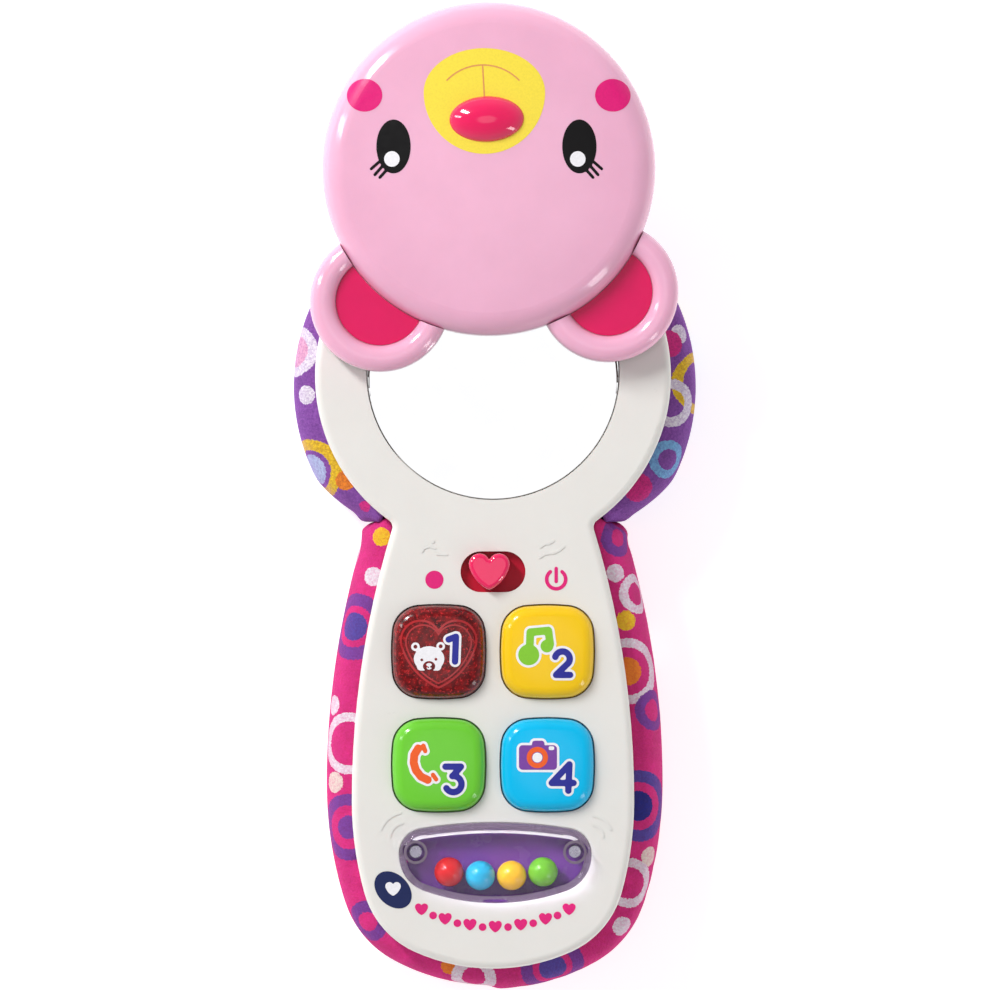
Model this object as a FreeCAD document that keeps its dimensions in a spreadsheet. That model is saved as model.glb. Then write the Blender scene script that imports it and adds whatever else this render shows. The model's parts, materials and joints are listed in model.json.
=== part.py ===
import FreeCAD, Part
import math
import os
import re
import Sketcher

# Infant toy phone: a padded body with a white front, a round mirror under a bear cover that swivels
# on a pivot, four sprung buttons, a sliding heart switch and a window with four rolling beads.
# Millimetres. The phone lies on its back: +Z out of its front, +Y towards the bear, origin in the
# middle of the resting face.

DOC = FreeCAD.newDocument("toy_phone")

SIZES = [
    # front plate, seen from above
    ("head_radius", 39.2), ("head_y", 26.2), ("neck_radius", 1.8),
    ("handle_half", 31.1), ("handle_wide", 67.3), ("handle_end", 104.3),
    ("upper_radius", 205.7), ("lower_radius", 76.0), ("corner_radius", 20.0), ("bottom_radius", 42.0),
    # padded cover, seen from above
    ("pad_head_radius", 44.6), ("pad_head_y", 24.0), ("pad_neck_radius", 3.0),
    ("pad_handle_half", 36.6), ("pad_handle_wide", 64.0), ("pad_handle_end", 108.3),
    ("pad_upper_radius", 186.6), ("pad_lower_radius", 85.0), ("pad_corner_radius", 22.0),
    ("pad_bottom_radius", 46.0),
    # heights of the layers
    ("pad_top", 25.0), ("pad_round", 7.0), ("pad_back_round", 5.0), ("pad_gap", 0.3),
    ("shell_back", 4.0), ("parting", 22.0), ("plate_top", 30.0), ("edge_round", 1.6),
    ("skin", 2.2), ("wall", 2.0), ("shell_inset", 0.6), ("shell_round", 2.5), ("seam", 5.8),
    # mirror and the pivot of the cover
    ("mirror_y", 26.8), ("mirror_radius", 27.6), ("mirror_gap", 0.3), ("mirror_depth", 1.2),
    ("mirror_thick", 1.2), ("mirror_floor", 1.8), ("mirror_rim", 3.0), ("tongue_radius", 12.9),
    ("pivot_y", 49.3), ("hub_radius", 5.0), ("running", 0.06), ("lift", 0.1), ("bush_radius", 9.0),
    ("bush_depth", 5.2), ("bush_rise", 0.9), ("washer_radius", 8.0), ("washer_thick", 1.2),
    # bear cover, in its own frame with the pivot at the origin
    ("lid_lean", 2.4), ("face_reach", 22.4), ("face_radius", 36.6), ("lid_gap", 1.0),
    ("lid_base", 3.0), ("face_edge", 1.6), ("face_corner", 5.5), ("face_crown", 9.0), ("face_wall", 2.0),
    ("ear_x", 25.1), ("ear_reach", 5.7), ("ear_radius", 15.4), ("ear_height", 7.2), ("ear_inner", 9.7),
    ("ear_floor", 4.4), ("ear_round", 2.7), ("inlay_thick", 0.6), ("inlay_gap", 0.05),
    ("nose_reach", 33.0), ("nose_half_width", 8.25), ("nose_half_height", 5.1), ("nose_rise", 3.2),
    ("nose_sink", 0.8), ("hub_screw_length", 8.0),
    ("lid_screw_x", 20.0), ("lid_screw_low", 17.0), ("lid_screw_high", 50.0),
    # buttons
    ("button_x", 11.95), ("button_high", 34.5), ("button_low", 59.4), ("button_half", 10.2),
    ("button_bulge", 48.0), ("button_corner", 5.9), ("button_gap", 0.35), ("button_rise", 3.2),
    ("button_crown", 75.0), ("button_round", 2.6), ("flange", 0.7), ("flange_thick", 1.8),
    ("ceiling_gap", 0.2), ("plunger_radius", 3.4), ("plunger_length", 4.4),
    # heart slide switch
    ("slot_y", 16.9), ("slot_half", 7.15), ("slot_radius", 4.5), ("heart_x", -0.8),
    ("heart_lobe", 2.4), ("heart_lobe_x", 2.15), ("heart_lobe_rise", 1.65), ("heart_tip", 3.9),
    ("heart_tip_radius", 1.2), ("heart_side", 8.0), ("heart_notch", 0.15), ("heart_rise", 2.6),
    ("heart_round", 1.0), ("slide_half_length", 11.6), ("slide_half_width", 5.4),
    ("prong_gap", 0.1), ("prong_width", 1.4), ("prong_depth", 3.0),
    # bead window
    ("window_x", 0.5), ("window_top", 72.0), ("window_low", 89.8), ("window_wide", 79.2),
    ("window_top_arc", 100.0), ("window_corner", 5.6), ("window_side", 8.4), ("window_low_arc", 46.7),
    ("window_rise", 3.5), ("window_wall", 1.3), ("window_round", 2.0), ("window_seat", 1.0),
    ("chamber_inset", 1.6), ("opening_inset", 1.1), ("tray_floor", 24.5), ("tray_thick", 1.2),
    ("tray_top", 73.3), ("tray_grow", 0.5), ("snap_half", 2.7), ("snap_gap", 0.2), ("snap_drop", 1.1),
    ("bead_radius", 3.3), ("bead_pitch", 6.9), ("bead_first_x", -9.7), ("bead_y", 83.8),
    ("bead_lift", 0.1), ("bead_end_rise", 0.8), ("boss_x", 17.5), ("boss_y", 78.5), ("boss_radius", 2.2),
    # circuit board and what it carries
    ("board_half", 16.5), ("board_high", 10.0), ("board_low", 70.0), ("board_z", 17.0),
    ("board_thick", 1.6), ("dome_foot", 4.6), ("switch_half_length", 4.5), ("switch_half_width", 2.0),
    ("switch_height", 3.2), ("lever_half", 1.0), ("lever_height", 2.6), ("led_radius", 1.5),
    ("led_x", -5.2), ("led_height", 3.2), ("lid_switch_x", 13.5), ("lid_switch_half", 3.0),
    ("lid_switch_height", 5.0), ("chip_radius", 4.0), ("chip_height", 1.5), ("chip_y", 47.0),
    # battery compartment and loudspeaker
    ("island_half", 17.0), ("island_high", 13.0), ("island_low", 82.0), ("island_z", 1.0),
    ("door_half", 13.6), ("door_high", 16.0), ("door_low", 79.0), ("door_thick", 2.0), ("door_gap", 0.2),
    ("box_half", 11.6), ("box_high", 18.0), ("box_low", 70.0), ("box_top", 14.4), ("box_wall", 1.6),
    ("cell_radius", 5.25), ("cell_length", 44.5), ("cell_x", 5.6), ("cell_z", 8.7), ("cell_end_y", 66.5),
    ("contact_half", 4.0), ("contact_thick", 0.4), ("contact_low_z", 4.5), ("contact_height", 8.0),
    ("nub_radius", 2.0), ("nub_length", 1.0), ("door_screw_y", 74.9),
    ("groove_half", 5.0), ("groove_y", 19.5), ("groove_pitch", 2.2), ("groove_width", 0.9),
    ("groove_depth", 0.5),
    ("speaker_y", 18.0), ("speaker_radius", 14.0), ("speaker_rim", 1.6), ("speaker_height", 5.0),
    ("magnet_radius", 6.5), ("magnet_height", 3.5), ("grille_radius", 1.0), ("grille_pitch", 4.2),
    # screws
    ("screw_radius", 1.3), ("screw_head", 2.4), ("screw_head_height", 1.6), ("case_screw_length", 14.0),
    ("case_screw_z", 12.0), ("head_screw_x", 27.0), ("head_screw_y", 45.1), ("neck_screw_x", 20.5),
    ("neck_screw_y", 19.0), ("foot_screw_x", 12.0), ("foot_screw_y", 96.5),
    ("short_screw_length", 6.0), ("recess_half", 0.35), ("recess_depth", 0.8), ("post_radius", 3.0),
    ("shell_post_radius", 3.6), ("post_clearance", 0.2), ("overlap", 1.0),
]
ALIASES = {alias for alias, value in SIZES}

TINY = 1e-4

# Places of repeated pieces, in cells of the sheet.
CASE_SCREWS = [
    ("head_screw_x", "head_screw_y"), ("-head_screw_x", "head_screw_y"),
    ("neck_screw_x", "-neck_screw_y"), ("-neck_screw_x", "-neck_screw_y"),
    ("foot_screw_x", "-foot_screw_y"), ("-foot_screw_x", "-foot_screw_y"),
]
BUTTONS = {
    "button_1": ("-button_x", "-button_high"),
    "button_2": ("button_x", "-button_high"),
    "button_3": ("-button_x", "-button_low"),
    "button_4": ("button_x", "-button_low"),
}
BEADS = ["bead_red", "bead_cyan", "bead_yellow", "bead_green"]
LID_SCREWS = [("lid_screw_x", "lid_screw_low"), ("-lid_screw_x", "lid_screw_low"), ("0", "lid_screw_high")]
WINDOW_BOSSES = [("window_x + boss_x", "-boss_y"), ("window_x - boss_x", "-boss_y")]
DOOR_GROOVES = 4


# ---------------------------------------------------------------- the sheet and its expressions

def make_sheet():
    """The spreadsheet that holds every driving dimension under its alias."""
    sheet = DOC.addObject("Spreadsheet::Sheet", "Sizes")
    for row, (alias, value) in enumerate(SIZES, start=1):
        sheet.set(f"A{row}", alias)
        sheet.set(f"B{row}", str(value))
        sheet.setAlias(f"B{row}", alias)
    DOC.recompute()
    return sheet


def cells(expression):
    """The expression with each alias written as a cell of the sheet."""
    return re.sub(r"[a-z_]+", lambda word: "Sizes." + word[0] if word[0] in ALIASES else word[0], expression)


def number(expression):
    """The present value of an expression of aliases."""
    return float(SHEET.evalExpression(cells(expression)))


def bind(item, **properties):
    """Bind properties to expressions; a double underscore stands for a dot."""
    for name, expression in properties.items():
        item.setExpression(name.replace("__", "."), cells(expression))
    return item


def place(item, x="0", y="0", z="0"):
    """Bind where a piece stands."""
    return bind(item, Placement__Base__x=x, Placement__Base__y=y, Placement__Base__z=z)


SHEET = make_sheet()


# ---------------------------------------------------------------- primitives and booleans

def cylinder(name, radius, height, x="0", y="0", z="0"):
    piece = DOC.addObject("Part::Cylinder", name)
    bind(piece, Radius=radius, Height=height)
    return place(piece, x, y, z)


def cone(name, low_radius, high_radius, height, x, y, z):
    piece = DOC.addObject("Part::Cone", name)
    bind(piece, Radius1=low_radius, Radius2=high_radius, Height=height)
    return place(piece, x, y, z)


def box(name, low, high):
    """A box between two opposite corners, each given as three expressions."""
    piece = DOC.addObject("Part::Box", name)
    sides = [f"({top}) - ({bottom})" for bottom, top in zip(low, high)]
    bind(piece, Length=sides[0], Width=sides[1], Height=sides[2])
    return place(piece, *low)


def cut(name, base, tool):
    piece = DOC.addObject("Part::Cut", name)
    piece.Base = base
    piece.Tool = tool
    return piece


def fuse(name, pieces):
    piece = DOC.addObject("Part::MultiFuse", name)
    piece.Shapes = pieces
    return piece


def group(name, pieces):
    """Separate solids that share one node."""
    piece = DOC.addObject("Part::Compound", name)
    piece.Links = pieces
    return piece


def screw(name, length, x, y, z):
    """A pan-head screw driven upwards, its head's underside at height z, with a cross recess."""
    head = cylinder(name + "_head", "screw_head", "screw_head_height", x, y, f"{z} - screw_head_height")
    shank = cylinder(name + "_shank", "screw_radius", length, x, y, z)
    arms = []
    halves = [("screw_radius", "recess_half"), ("recess_half", "screw_radius")]
    for arm, (half_x, half_y) in enumerate(halves):
        low = (f"{x} - {half_x}", f"{y} - {half_y}", f"{z} - screw_head_height - overlap")
        high = (f"{x} + {half_x}", f"{y} + {half_y}", f"{z} - screw_head_height + recess_depth")
        arms.append(box(f"{name}_recess_{arm}", low, high))
    return cut(name, fuse(name + "_blank", [head, shank]), fuse(name + "_cross", arms))


# ---------------------------------------------------------------- bodies and their features

def new_body(name):
    body = DOC.addObject("PartDesign::Body", name)
    body.Label = name
    return body


def new_sketch(body, height="0", plane="XY_Plane"):
    """A sketch on one of the body's own planes, raised to a height."""
    sketch = body.newObject("Sketcher::SketchObject", body.Name + "_sketch")
    support = [item for item in body.Origin.OriginFeatures if item.Role == plane]
    sketch.AttachmentSupport = [(support[0], "")]
    sketch.MapMode = "FlatFace"
    return bind(sketch, AttachmentOffset__Base__z=height)


def pad(body, sketch, length):
    feature = body.newObject("PartDesign::Pad", body.Name + "_pad")
    feature.Profile = sketch
    bind(feature, Length=length)
    DOC.recompute()
    return feature


def pocket(body, sketch, depth, upwards=False):
    """Remove material under the sketch, or above it, and make sure that some was removed."""
    before = body.Shape.Volume
    feature = body.newObject("PartDesign::Pocket", body.Name + "_pocket")
    feature.Profile = sketch
    feature.Reversed = upwards
    bind(feature, Length=depth)
    DOC.recompute()
    if not body.Shape.Volume < before - TINY:
        raise RuntimeError(f"a pocket of {body.Label} removes nothing")
    return feature


def round_edges(body, chosen, radius):
    """Round the edges of the body's last feature that the test chooses."""
    base = body.Tip
    names = [f"Edge{i}" for i, edge in enumerate(base.Shape.Edges, start=1) if chosen(edge)]
    feature = body.newObject("PartDesign::Fillet", body.Name + "_round")
    feature.Base = (base, names)
    bind(feature, Radius=radius)
    DOC.recompute()
    return feature


def at_height(expression):
    """A test for edges that lie flat at a height."""
    level = number(expression)
    return lambda edge: max(abs(edge.BoundBox.ZMin - level), abs(edge.BoundBox.ZMax - level)) < TINY


# ---------------------------------------------------------------- outlines

class Disc:
    """A circle that an outline follows. A hollow one is followed the other way round."""

    def __init__(self, radius, x=None, y=None, at=None, hollow=False):
        self.radius_cell = radius
        self.x_cell = x
        self.y_cell = y
        self.radius = number(radius)
        self.centre = at or (number(x), number(y))
        self.hollow = hollow


def crossing(first, first_reach, second, second_reach, left):
    """The point at given distances from two centres, on the left or the right of the line between."""
    span = math.dist(first, second)
    along = (first_reach ** 2 - second_reach ** 2 + span ** 2) / (2 * span)
    aside = math.sqrt(first_reach ** 2 - along ** 2) * (1 if left else -1)
    unit = ((second[0] - first[0]) / span, (second[1] - first[1]) / span)
    return (first[0] + along * unit[0] - aside * unit[1], first[1] + along * unit[1] + aside * unit[0])


def touch_point(first, second):
    """Where two tangent circles touch."""
    large, small = (first, second) if first.radius >= second.radius else (second, first)
    span = math.dist(large.centre, small.centre)
    reach = large.radius / span
    return (large.centre[0] + reach * (small.centre[0] - large.centre[0]),
            large.centre[1] + reach * (small.centre[1] - large.centre[1]))


def constrain(sketch, *constraint, cell=None):
    """Add a constraint, bound to a cell when it has one."""
    index = sketch.addConstraint(Sketcher.Constraint(*constraint))
    if cell:
        sketch.setExpression(f"Constraints[{index}]", cells(cell))


def tangent_loop(sketch, discs):
    """Draw a closed loop of arcs, anticlockwise, each tangent to the next."""
    count = len(discs)
    joins = [touch_point(disc, discs[(i + 1) % count]) for i, disc in enumerate(discs)]
    for i, disc in enumerate(discs):
        ends = [joins[i - 1], joins[i]]
        if disc.hollow:
            ends.reverse()
        angles = [math.atan2(y - disc.centre[1], x - disc.centre[0]) for x, y in ends]
        circle = Part.Circle(FreeCAD.Vector(*disc.centre, 0), FreeCAD.Vector(0, 0, 1), disc.radius)
        sketch.addGeometry(Part.ArcOfCircle(circle, *angles), False)
    for i, disc in enumerate(discs):
        following = (i + 1) % count
        leaving = 1 if disc.hollow else 2
        arriving = 2 if discs[following].hollow else 1
        constrain(sketch, "Tangent", i, leaving, following, arriving)
        constrain(sketch, "Radius", i, disc.radius, cell=disc.radius_cell)
        if disc.x_cell:
            constrain(sketch, "DistanceX", -1, 1, i, 3, disc.centre[0], cell=disc.x_cell)
        if disc.y_cell:
            constrain(sketch, "DistanceY", -1, 1, i, 3, disc.centre[1], cell=disc.y_cell)


def mirrored(disc):
    """The same circle on the other side of the Y axis."""
    x_cell = f"-({disc.x_cell})" if disc.x_cell else None
    return Disc(disc.radius_cell, x_cell, disc.y_cell, (-disc.centre[0], disc.centre[1]), disc.hollow)


def phone_outline(sketch, grow="0", cover=""):
    """Round head, hollow neck and flared handle, grown outwards; cover is pad_ for the padded cover."""
    head = Disc(f"{cover}head_radius + {grow}", "0", f"{cover}head_y")
    bottom = Disc(f"{cover}bottom_radius + {grow}", "0", f"{cover}bottom_radius - {cover}handle_end")
    upper = Disc(f"{cover}upper_radius + {grow}", f"{cover}handle_half - {cover}upper_radius",
                 f"-{cover}handle_wide")
    lower_centre = (number(f"{cover}handle_half - {cover}lower_radius"), upper.centre[1])
    lower = Disc(f"{cover}lower_radius + {grow}", None, f"-{cover}handle_wide", lower_centre)
    corner_centre = crossing(lower.centre, number(f"{cover}lower_radius - {cover}corner_radius"),
                             bottom.centre, number(f"{cover}bottom_radius - {cover}corner_radius"), False)
    corner = Disc(f"{cover}corner_radius + {grow}", at=corner_centre)
    neck_centre = crossing(upper.centre, number(f"{cover}upper_radius + {cover}neck_radius"),
                           head.centre, number(f"{cover}head_radius + {cover}neck_radius"), False)
    neck = Disc(f"{cover}neck_radius - ({grow})", at=neck_centre, hollow=True)
    right = [corner, lower, upper, neck]
    left = [mirrored(disc) for disc in reversed(right)]
    tangent_loop(sketch, [bottom, *right, head, *left])


def cushion_outline(sketch, half, bulge, corner, x="0", y="0"):
    """A square with bulging sides and round corners."""
    sides = []
    away = f"({half} - ({bulge}))"
    for step_x, step_y in [(0, -1), (1, 0), (0, 1), (-1, 0)]:
        sides.append(Disc(bulge, f"{x} + {step_x} * {away}", f"{y} + {step_y} * {away}"))
    reach = number(f"{bulge} - ({corner})")
    discs = []
    for i, side in enumerate(sides):
        following = sides[(i + 1) % len(sides)]
        centre = crossing(side.centre, reach, following.centre, reach, True)
        discs += [side, Disc(corner, at=centre)]
    tangent_loop(sketch, discs)


def barrel_outline(sketch, grow, top="window_top"):
    """The bead window: nearly straight above, bulging below, round sides and tighter upper corners."""
    low = Disc(f"window_low_arc + {grow}", "window_x", "window_low_arc - window_low")
    upper = Disc(f"window_top_arc + {grow}", "window_x", f"-{top} - window_top_arc")
    reach = number("window_low_arc - window_side")
    side_y = number("-window_wide")
    side_x = number("window_x") + math.sqrt(reach ** 2 - (side_y - low.centre[1]) ** 2)
    side = Disc(f"window_side + {grow}", None, "-window_wide", (side_x, side_y))
    corner_centre = crossing(side.centre, number("window_side - window_corner"),
                             upper.centre, number("window_top_arc - window_corner"), True)
    corner = Disc(f"window_corner + {grow}", at=corner_centre)
    middle = 2 * number("window_x")
    left = [Disc(disc.radius_cell, None, disc.y_cell, (middle - disc.centre[0], disc.centre[1]))
            for disc in (corner, side)]
    tangent_loop(sketch, [low, side, corner, upper, *left])


def circles(sketch, radius, centres):
    """Whole circles of one radius."""
    for index, (x, y) in enumerate(centres):
        centre = FreeCAD.Vector(number(x), number(y), 0)
        sketch.addGeometry(Part.Circle(centre, FreeCAD.Vector(0, 0, 1), number(radius)), False)
        constrain(sketch, "Radius", index, number(radius), cell=radius)
        constrain(sketch, "DistanceX", -1, 1, index, 3, centre.x, cell=x)
        constrain(sketch, "DistanceY", -1, 1, index, 3, centre.y, cell=y)


def rectangle(sketch, low, high):
    """A rectangle between two opposite corners."""
    xs = number(low[0]), number(high[0])
    ys = number(low[1]), number(high[1])
    corners = [(xs[0], ys[0]), (xs[1], ys[0]), (xs[1], ys[1]), (xs[0], ys[1])]
    for index, corner in enumerate(corners):
        following = corners[(index + 1) % 4]
        sketch.addGeometry(Part.LineSegment(FreeCAD.Vector(*corner, 0), FreeCAD.Vector(*following, 0)), False)
    for index in range(4):
        constrain(sketch, "Coincident", index, 2, (index + 1) % 4, 1)
        constrain(sketch, "Vertical" if index % 2 else "Horizontal", index)
    for vertex, corner in ((0, low), (2, high)):
        constrain(sketch, "DistanceX", -1, 1, vertex, 1, number(corner[0]), cell=corner[0])
        constrain(sketch, "DistanceY", -1, 1, vertex, 1, number(corner[1]), cell=corner[1])


def stadium(sketch, half, radius, x, y):
    """A slot with round ends, along X."""
    ends = []
    for sign in (1, -1):
        centre_x = f"{x} + {sign} * ({half} - ({radius}))"
        centre = FreeCAD.Vector(number(centre_x), number(y), 0)
        circle = Part.Circle(centre, FreeCAD.Vector(0, 0, 1), number(radius))
        turn = 0 if sign == 1 else math.pi
        sketch.addGeometry(Part.ArcOfCircle(circle, turn - math.pi / 2, turn + math.pi / 2), False)
        ends.append((centre_x, centre))
    for sign, first, last in ((1, 0, 1), (-1, 1, 0)):
        height = FreeCAD.Vector(0, sign * number(radius), 0)
        sketch.addGeometry(Part.LineSegment(ends[first][1] + height, ends[last][1] + height), False)
    for arc, (centre_x, centre) in enumerate(ends):
        constrain(sketch, "Radius", arc, number(radius), cell=radius)
        constrain(sketch, "DistanceX", -1, 1, arc, 3, centre.x, cell=centre_x)
        constrain(sketch, "DistanceY", -1, 1, arc, 3, centre.y, cell=y)
    for arc, line in ((0, 2), (1, 3)):
        constrain(sketch, "Tangent", arc, 2, line, 1)
    for arc, line in ((1, 2), (0, 3)):
        constrain(sketch, "Tangent", line, 2, arc, 1)


def heart_outline(sketch, x, y):
    """A heart: two round lobes with a small notch between them, bulging sides and a rounded tip."""
    tip = Disc("heart_tip_radius", x, f"{y} - heart_tip + heart_tip_radius")
    right = Disc("heart_lobe", f"{x} + heart_lobe_x", f"{y} + heart_lobe_rise")
    left = Disc("heart_lobe", f"{x} - heart_lobe_x", f"{y} + heart_lobe_rise")
    tip_reach = number("heart_side - heart_tip_radius")
    lobe_reach = number("heart_side - heart_lobe")
    right_side = Disc("heart_side", at=crossing(tip.centre, tip_reach, right.centre, lobe_reach, True))
    left_side = Disc("heart_side", at=crossing(left.centre, lobe_reach, tip.centre, tip_reach, True))
    notch_reach = number("heart_lobe + heart_notch")
    notch_centre = crossing(right.centre, notch_reach, left.centre, notch_reach, False)
    notch = Disc("heart_notch", at=notch_centre, hollow=True)
    tangent_loop(sketch, [tip, right_side, right, notch, left, left_side])


# Heights that several pieces share.
CEILING = "plate_top - skin"
FLANGE_TOP = f"{CEILING} - ceiling_gap"
FLANGE_LOW = f"{FLANGE_TOP} - flange_thick"
MIRROR_SEAT = "plate_top - mirror_depth - mirror_thick"
BOARD_TOP = "board_z + board_thick"
LID_LOW = "plate_top + lid_gap"
LID_JOINT = f"{LID_LOW} + lid_base"
LID_TOP = f"{LID_JOINT} + face_crown"
HUB_LOW = "plate_top - bush_depth - lift"
TRAY_LOW = "tray_floor - tray_thick"
TRAY_HIGH = f"{CEILING} - lift"
WINDOW_LOW = "plate_top - window_seat"
CHAMBER_TOP = "plate_top + window_rise - window_wall"


# ---------------------------------------------------------------- front plate, shell and padded cover

def front_plate():
    """White front: a tray open at the back, with wells, mirror seat, pivot bush and screw posts."""
    body = new_body("front_plate")
    outer = new_sketch(body, "parting")
    phone_outline(outer)
    pad(body, outer, "plate_top - parting")
    round_edges(body, at_height("plate_top"), "edge_round")
    hollow = new_sketch(body, "parting")
    phone_outline(hollow, "-wall")
    pocket(body, hollow, f"{CEILING} - parting", upwards=True)

    seat = new_sketch(body, f"{MIRROR_SEAT} - mirror_floor")
    circles(seat, "mirror_radius + mirror_rim", [("0", "mirror_y")])
    pad(body, seat, f"{CEILING} + lift - ({MIRROR_SEAT} - mirror_floor)")
    recess = new_sketch(body, "plate_top")
    circles(recess, "mirror_radius + mirror_gap", [("0", "mirror_y")])
    pocket(body, recess, "mirror_depth + mirror_thick")
    tongue = new_sketch(body, f"{MIRROR_SEAT} - mirror_floor")
    circles(tongue, "tongue_radius", [("0", "pivot_y")])
    pad(body, tongue, "mirror_depth + mirror_thick + mirror_floor")
    bush = new_sketch(body, "plate_top - bush_depth")
    circles(bush, "bush_radius", [("0", "pivot_y")])
    pad(body, bush, "bush_depth + bush_rise")
    bore = new_sketch(body, "plate_top + bush_rise")
    circles(bore, "hub_radius + running", [("0", "pivot_y")])
    pocket(body, bore, "bush_depth + bush_rise + overlap")

    for x, y in BUTTONS.values():
        well = new_sketch(body, "plate_top")
        cushion_outline(well, "button_half + button_gap", "button_bulge + button_gap",
                        "button_corner + button_gap", x, y)
        pocket(body, well, "skin + overlap")
    slot = new_sketch(body, "plate_top")
    stadium(slot, "slot_half", "slot_radius", "0", "-slot_y")
    pocket(body, slot, "skin + overlap")
    window_seat = new_sketch(body, "plate_top")
    barrel_outline(window_seat, "lift")
    pocket(body, window_seat, "window_seat")
    opening = new_sketch(body, "plate_top")
    barrel_outline(opening, "-opening_inset", top="tray_top")
    pocket(body, opening, "skin + overlap")
    boss_holes = new_sketch(body, "plate_top")
    circles(boss_holes, "boss_radius + snap_gap", WINDOW_BOSSES)
    pocket(body, boss_holes, "skin + overlap")
    for low, high in snap_places():
        notch = new_sketch(body, "plate_top")
        rectangle(notch, ("window_x - snap_half - snap_gap", f"{low} - snap_gap"),
                  ("window_x + snap_half + snap_gap", f"{high} + snap_gap"))
        pocket(body, notch, "skin + overlap")

    posts = new_sketch(body, "parting")
    circles(posts, "post_radius", CASE_SCREWS)
    pad(body, posts, f"{CEILING} - parting + lift")
    holes = new_sketch(body, "parting")
    circles(holes, "screw_radius", CASE_SCREWS)
    pocket(body, holes, "case_screw_z + case_screw_length - parting + post_clearance", upwards=True)
    return body


def rear_shell():
    """Grey rear tub with the battery box, loudspeaker ring and screw posts."""
    body = new_body("rear_shell")
    outer = new_sketch(body, "shell_back")
    phone_outline(outer, "-shell_inset")
    pad(body, outer, "parting - shell_back")
    round_edges(body, at_height("shell_back"), "shell_round")
    hollow = new_sketch(body, "shell_back + wall")
    phone_outline(hollow, "-shell_inset - wall")
    pocket(body, hollow, "parting - shell_back - wall", upwards=True)

    island = new_sketch(body, "island_z")
    rectangle(island, ("-island_half", "-island_low"), ("island_half", "-island_high"))
    pad(body, island, "shell_back + wall - island_z")
    walls = new_sketch(body, "shell_back")
    rectangle(walls, ("-box_half - box_wall", "-box_low - box_wall"),
              ("box_half + box_wall", "-box_high + box_wall"))
    pad(body, walls, "box_top + box_wall - shell_back")
    pads = new_sketch(body, "box_top + box_wall")
    circles(pads, "screw_radius", [(x, y) for x in ("box_half", "-box_half")
                                   for y in ("-box_high", "-box_low + box_wall")])
    pad(body, pads, "board_z - box_top - box_wall")
    ring = new_sketch(body, "shell_back")
    circles(ring, "speaker_radius + speaker_rim", [("0", "speaker_y")])
    pad(body, ring, "wall + speaker_height")
    speaker_seat = new_sketch(body, "shell_back + wall")
    circles(speaker_seat, "speaker_radius + pad_gap", [("0", "speaker_y")])
    pocket(body, speaker_seat, "parting", upwards=True)

    posts = new_sketch(body, "shell_back")
    circles(posts, "shell_post_radius", CASE_SCREWS)
    pad(body, posts, "parting - shell_back")
    door_post = new_sketch(body, "shell_back")
    circles(door_post, "post_radius", [("0", "-door_screw_y")])
    pad(body, door_post, "case_screw_z - shell_back")

    cavity = new_sketch(body, "island_z")
    rectangle(cavity, ("-box_half", "-box_low"), ("box_half", "-box_high"))
    pocket(body, cavity, "box_top - island_z", upwards=True)
    door_seat = new_sketch(body, "island_z")
    rectangle(door_seat, ("-door_half - door_gap", "-door_low - door_gap"),
              ("door_half + door_gap", "-door_high + door_gap"))
    pocket(body, door_seat, "door_thick", upwards=True)
    wells = new_sketch(body, "shell_back")
    circles(wells, "screw_head + post_clearance", CASE_SCREWS)
    pocket(body, wells, "case_screw_z - shell_back", upwards=True)
    holes = new_sketch(body, "shell_back")
    circles(holes, "screw_radius", CASE_SCREWS)
    pocket(body, holes, "parting - shell_back", upwards=True)
    door_hole = new_sketch(body, "island_z")
    circles(door_hole, "screw_radius", [("0", "-door_screw_y")])
    pocket(body, door_hole, "door_thick + short_screw_length + post_clearance", upwards=True)
    grille = new_sketch(body, "shell_back")
    steps = [(i, j) for i in range(-2, 3) for j in range(-2, 3) if i * i + j * j <= 5]
    circles(grille, "grille_radius",
            [(f"{i} * grille_pitch", f"speaker_y + {j} * grille_pitch") for i, j in steps])
    pocket(body, grille, "wall", upwards=True)
    return body


def padded_cover(name, cut_low, cut_high):
    """One half of the soft cover: a thick pad around the shell, cut off at the seam."""
    body = new_body(name)
    outer = new_sketch(body)
    phone_outline(outer, cover="pad_")
    pad(body, outer, "pad_top")
    round_edges(body, at_height("pad_top"), "pad_round")
    round_edges(body, at_height("0"), "pad_back_round")
    nest = new_sketch(body, "shell_back")
    phone_outline(nest, "pad_gap")
    pocket(body, nest, "pad_top", upwards=True)
    window = new_sketch(body)
    rectangle(window, ("-island_half - pad_gap", "-island_low - pad_gap"),
              ("island_half + pad_gap", "-island_high + pad_gap"))
    pocket(body, window, "shell_back + overlap", upwards=True)
    other_half = new_sketch(body, "-overlap")
    rectangle(other_half, ("-pad_head_radius - overlap", cut_low), ("pad_head_radius + overlap", cut_high))
    pocket(body, other_half, "pad_top + 2 * overlap", upwards=True)
    return body


def mirror():
    """Round mirror with a round bite for the pivot."""
    disc = cylinder("mirror_disc", "mirror_radius", "mirror_thick", "0", "mirror_y", MIRROR_SEAT)
    bite = cylinder("mirror_bite", "tongue_radius + mirror_gap", "mirror_thick + 2 * overlap",
                    "0", "pivot_y", f"{MIRROR_SEAT} - overlap")
    return cut("mirror", disc, bite)


# ---------------------------------------------------------------- bear cover, about its pivot

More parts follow.
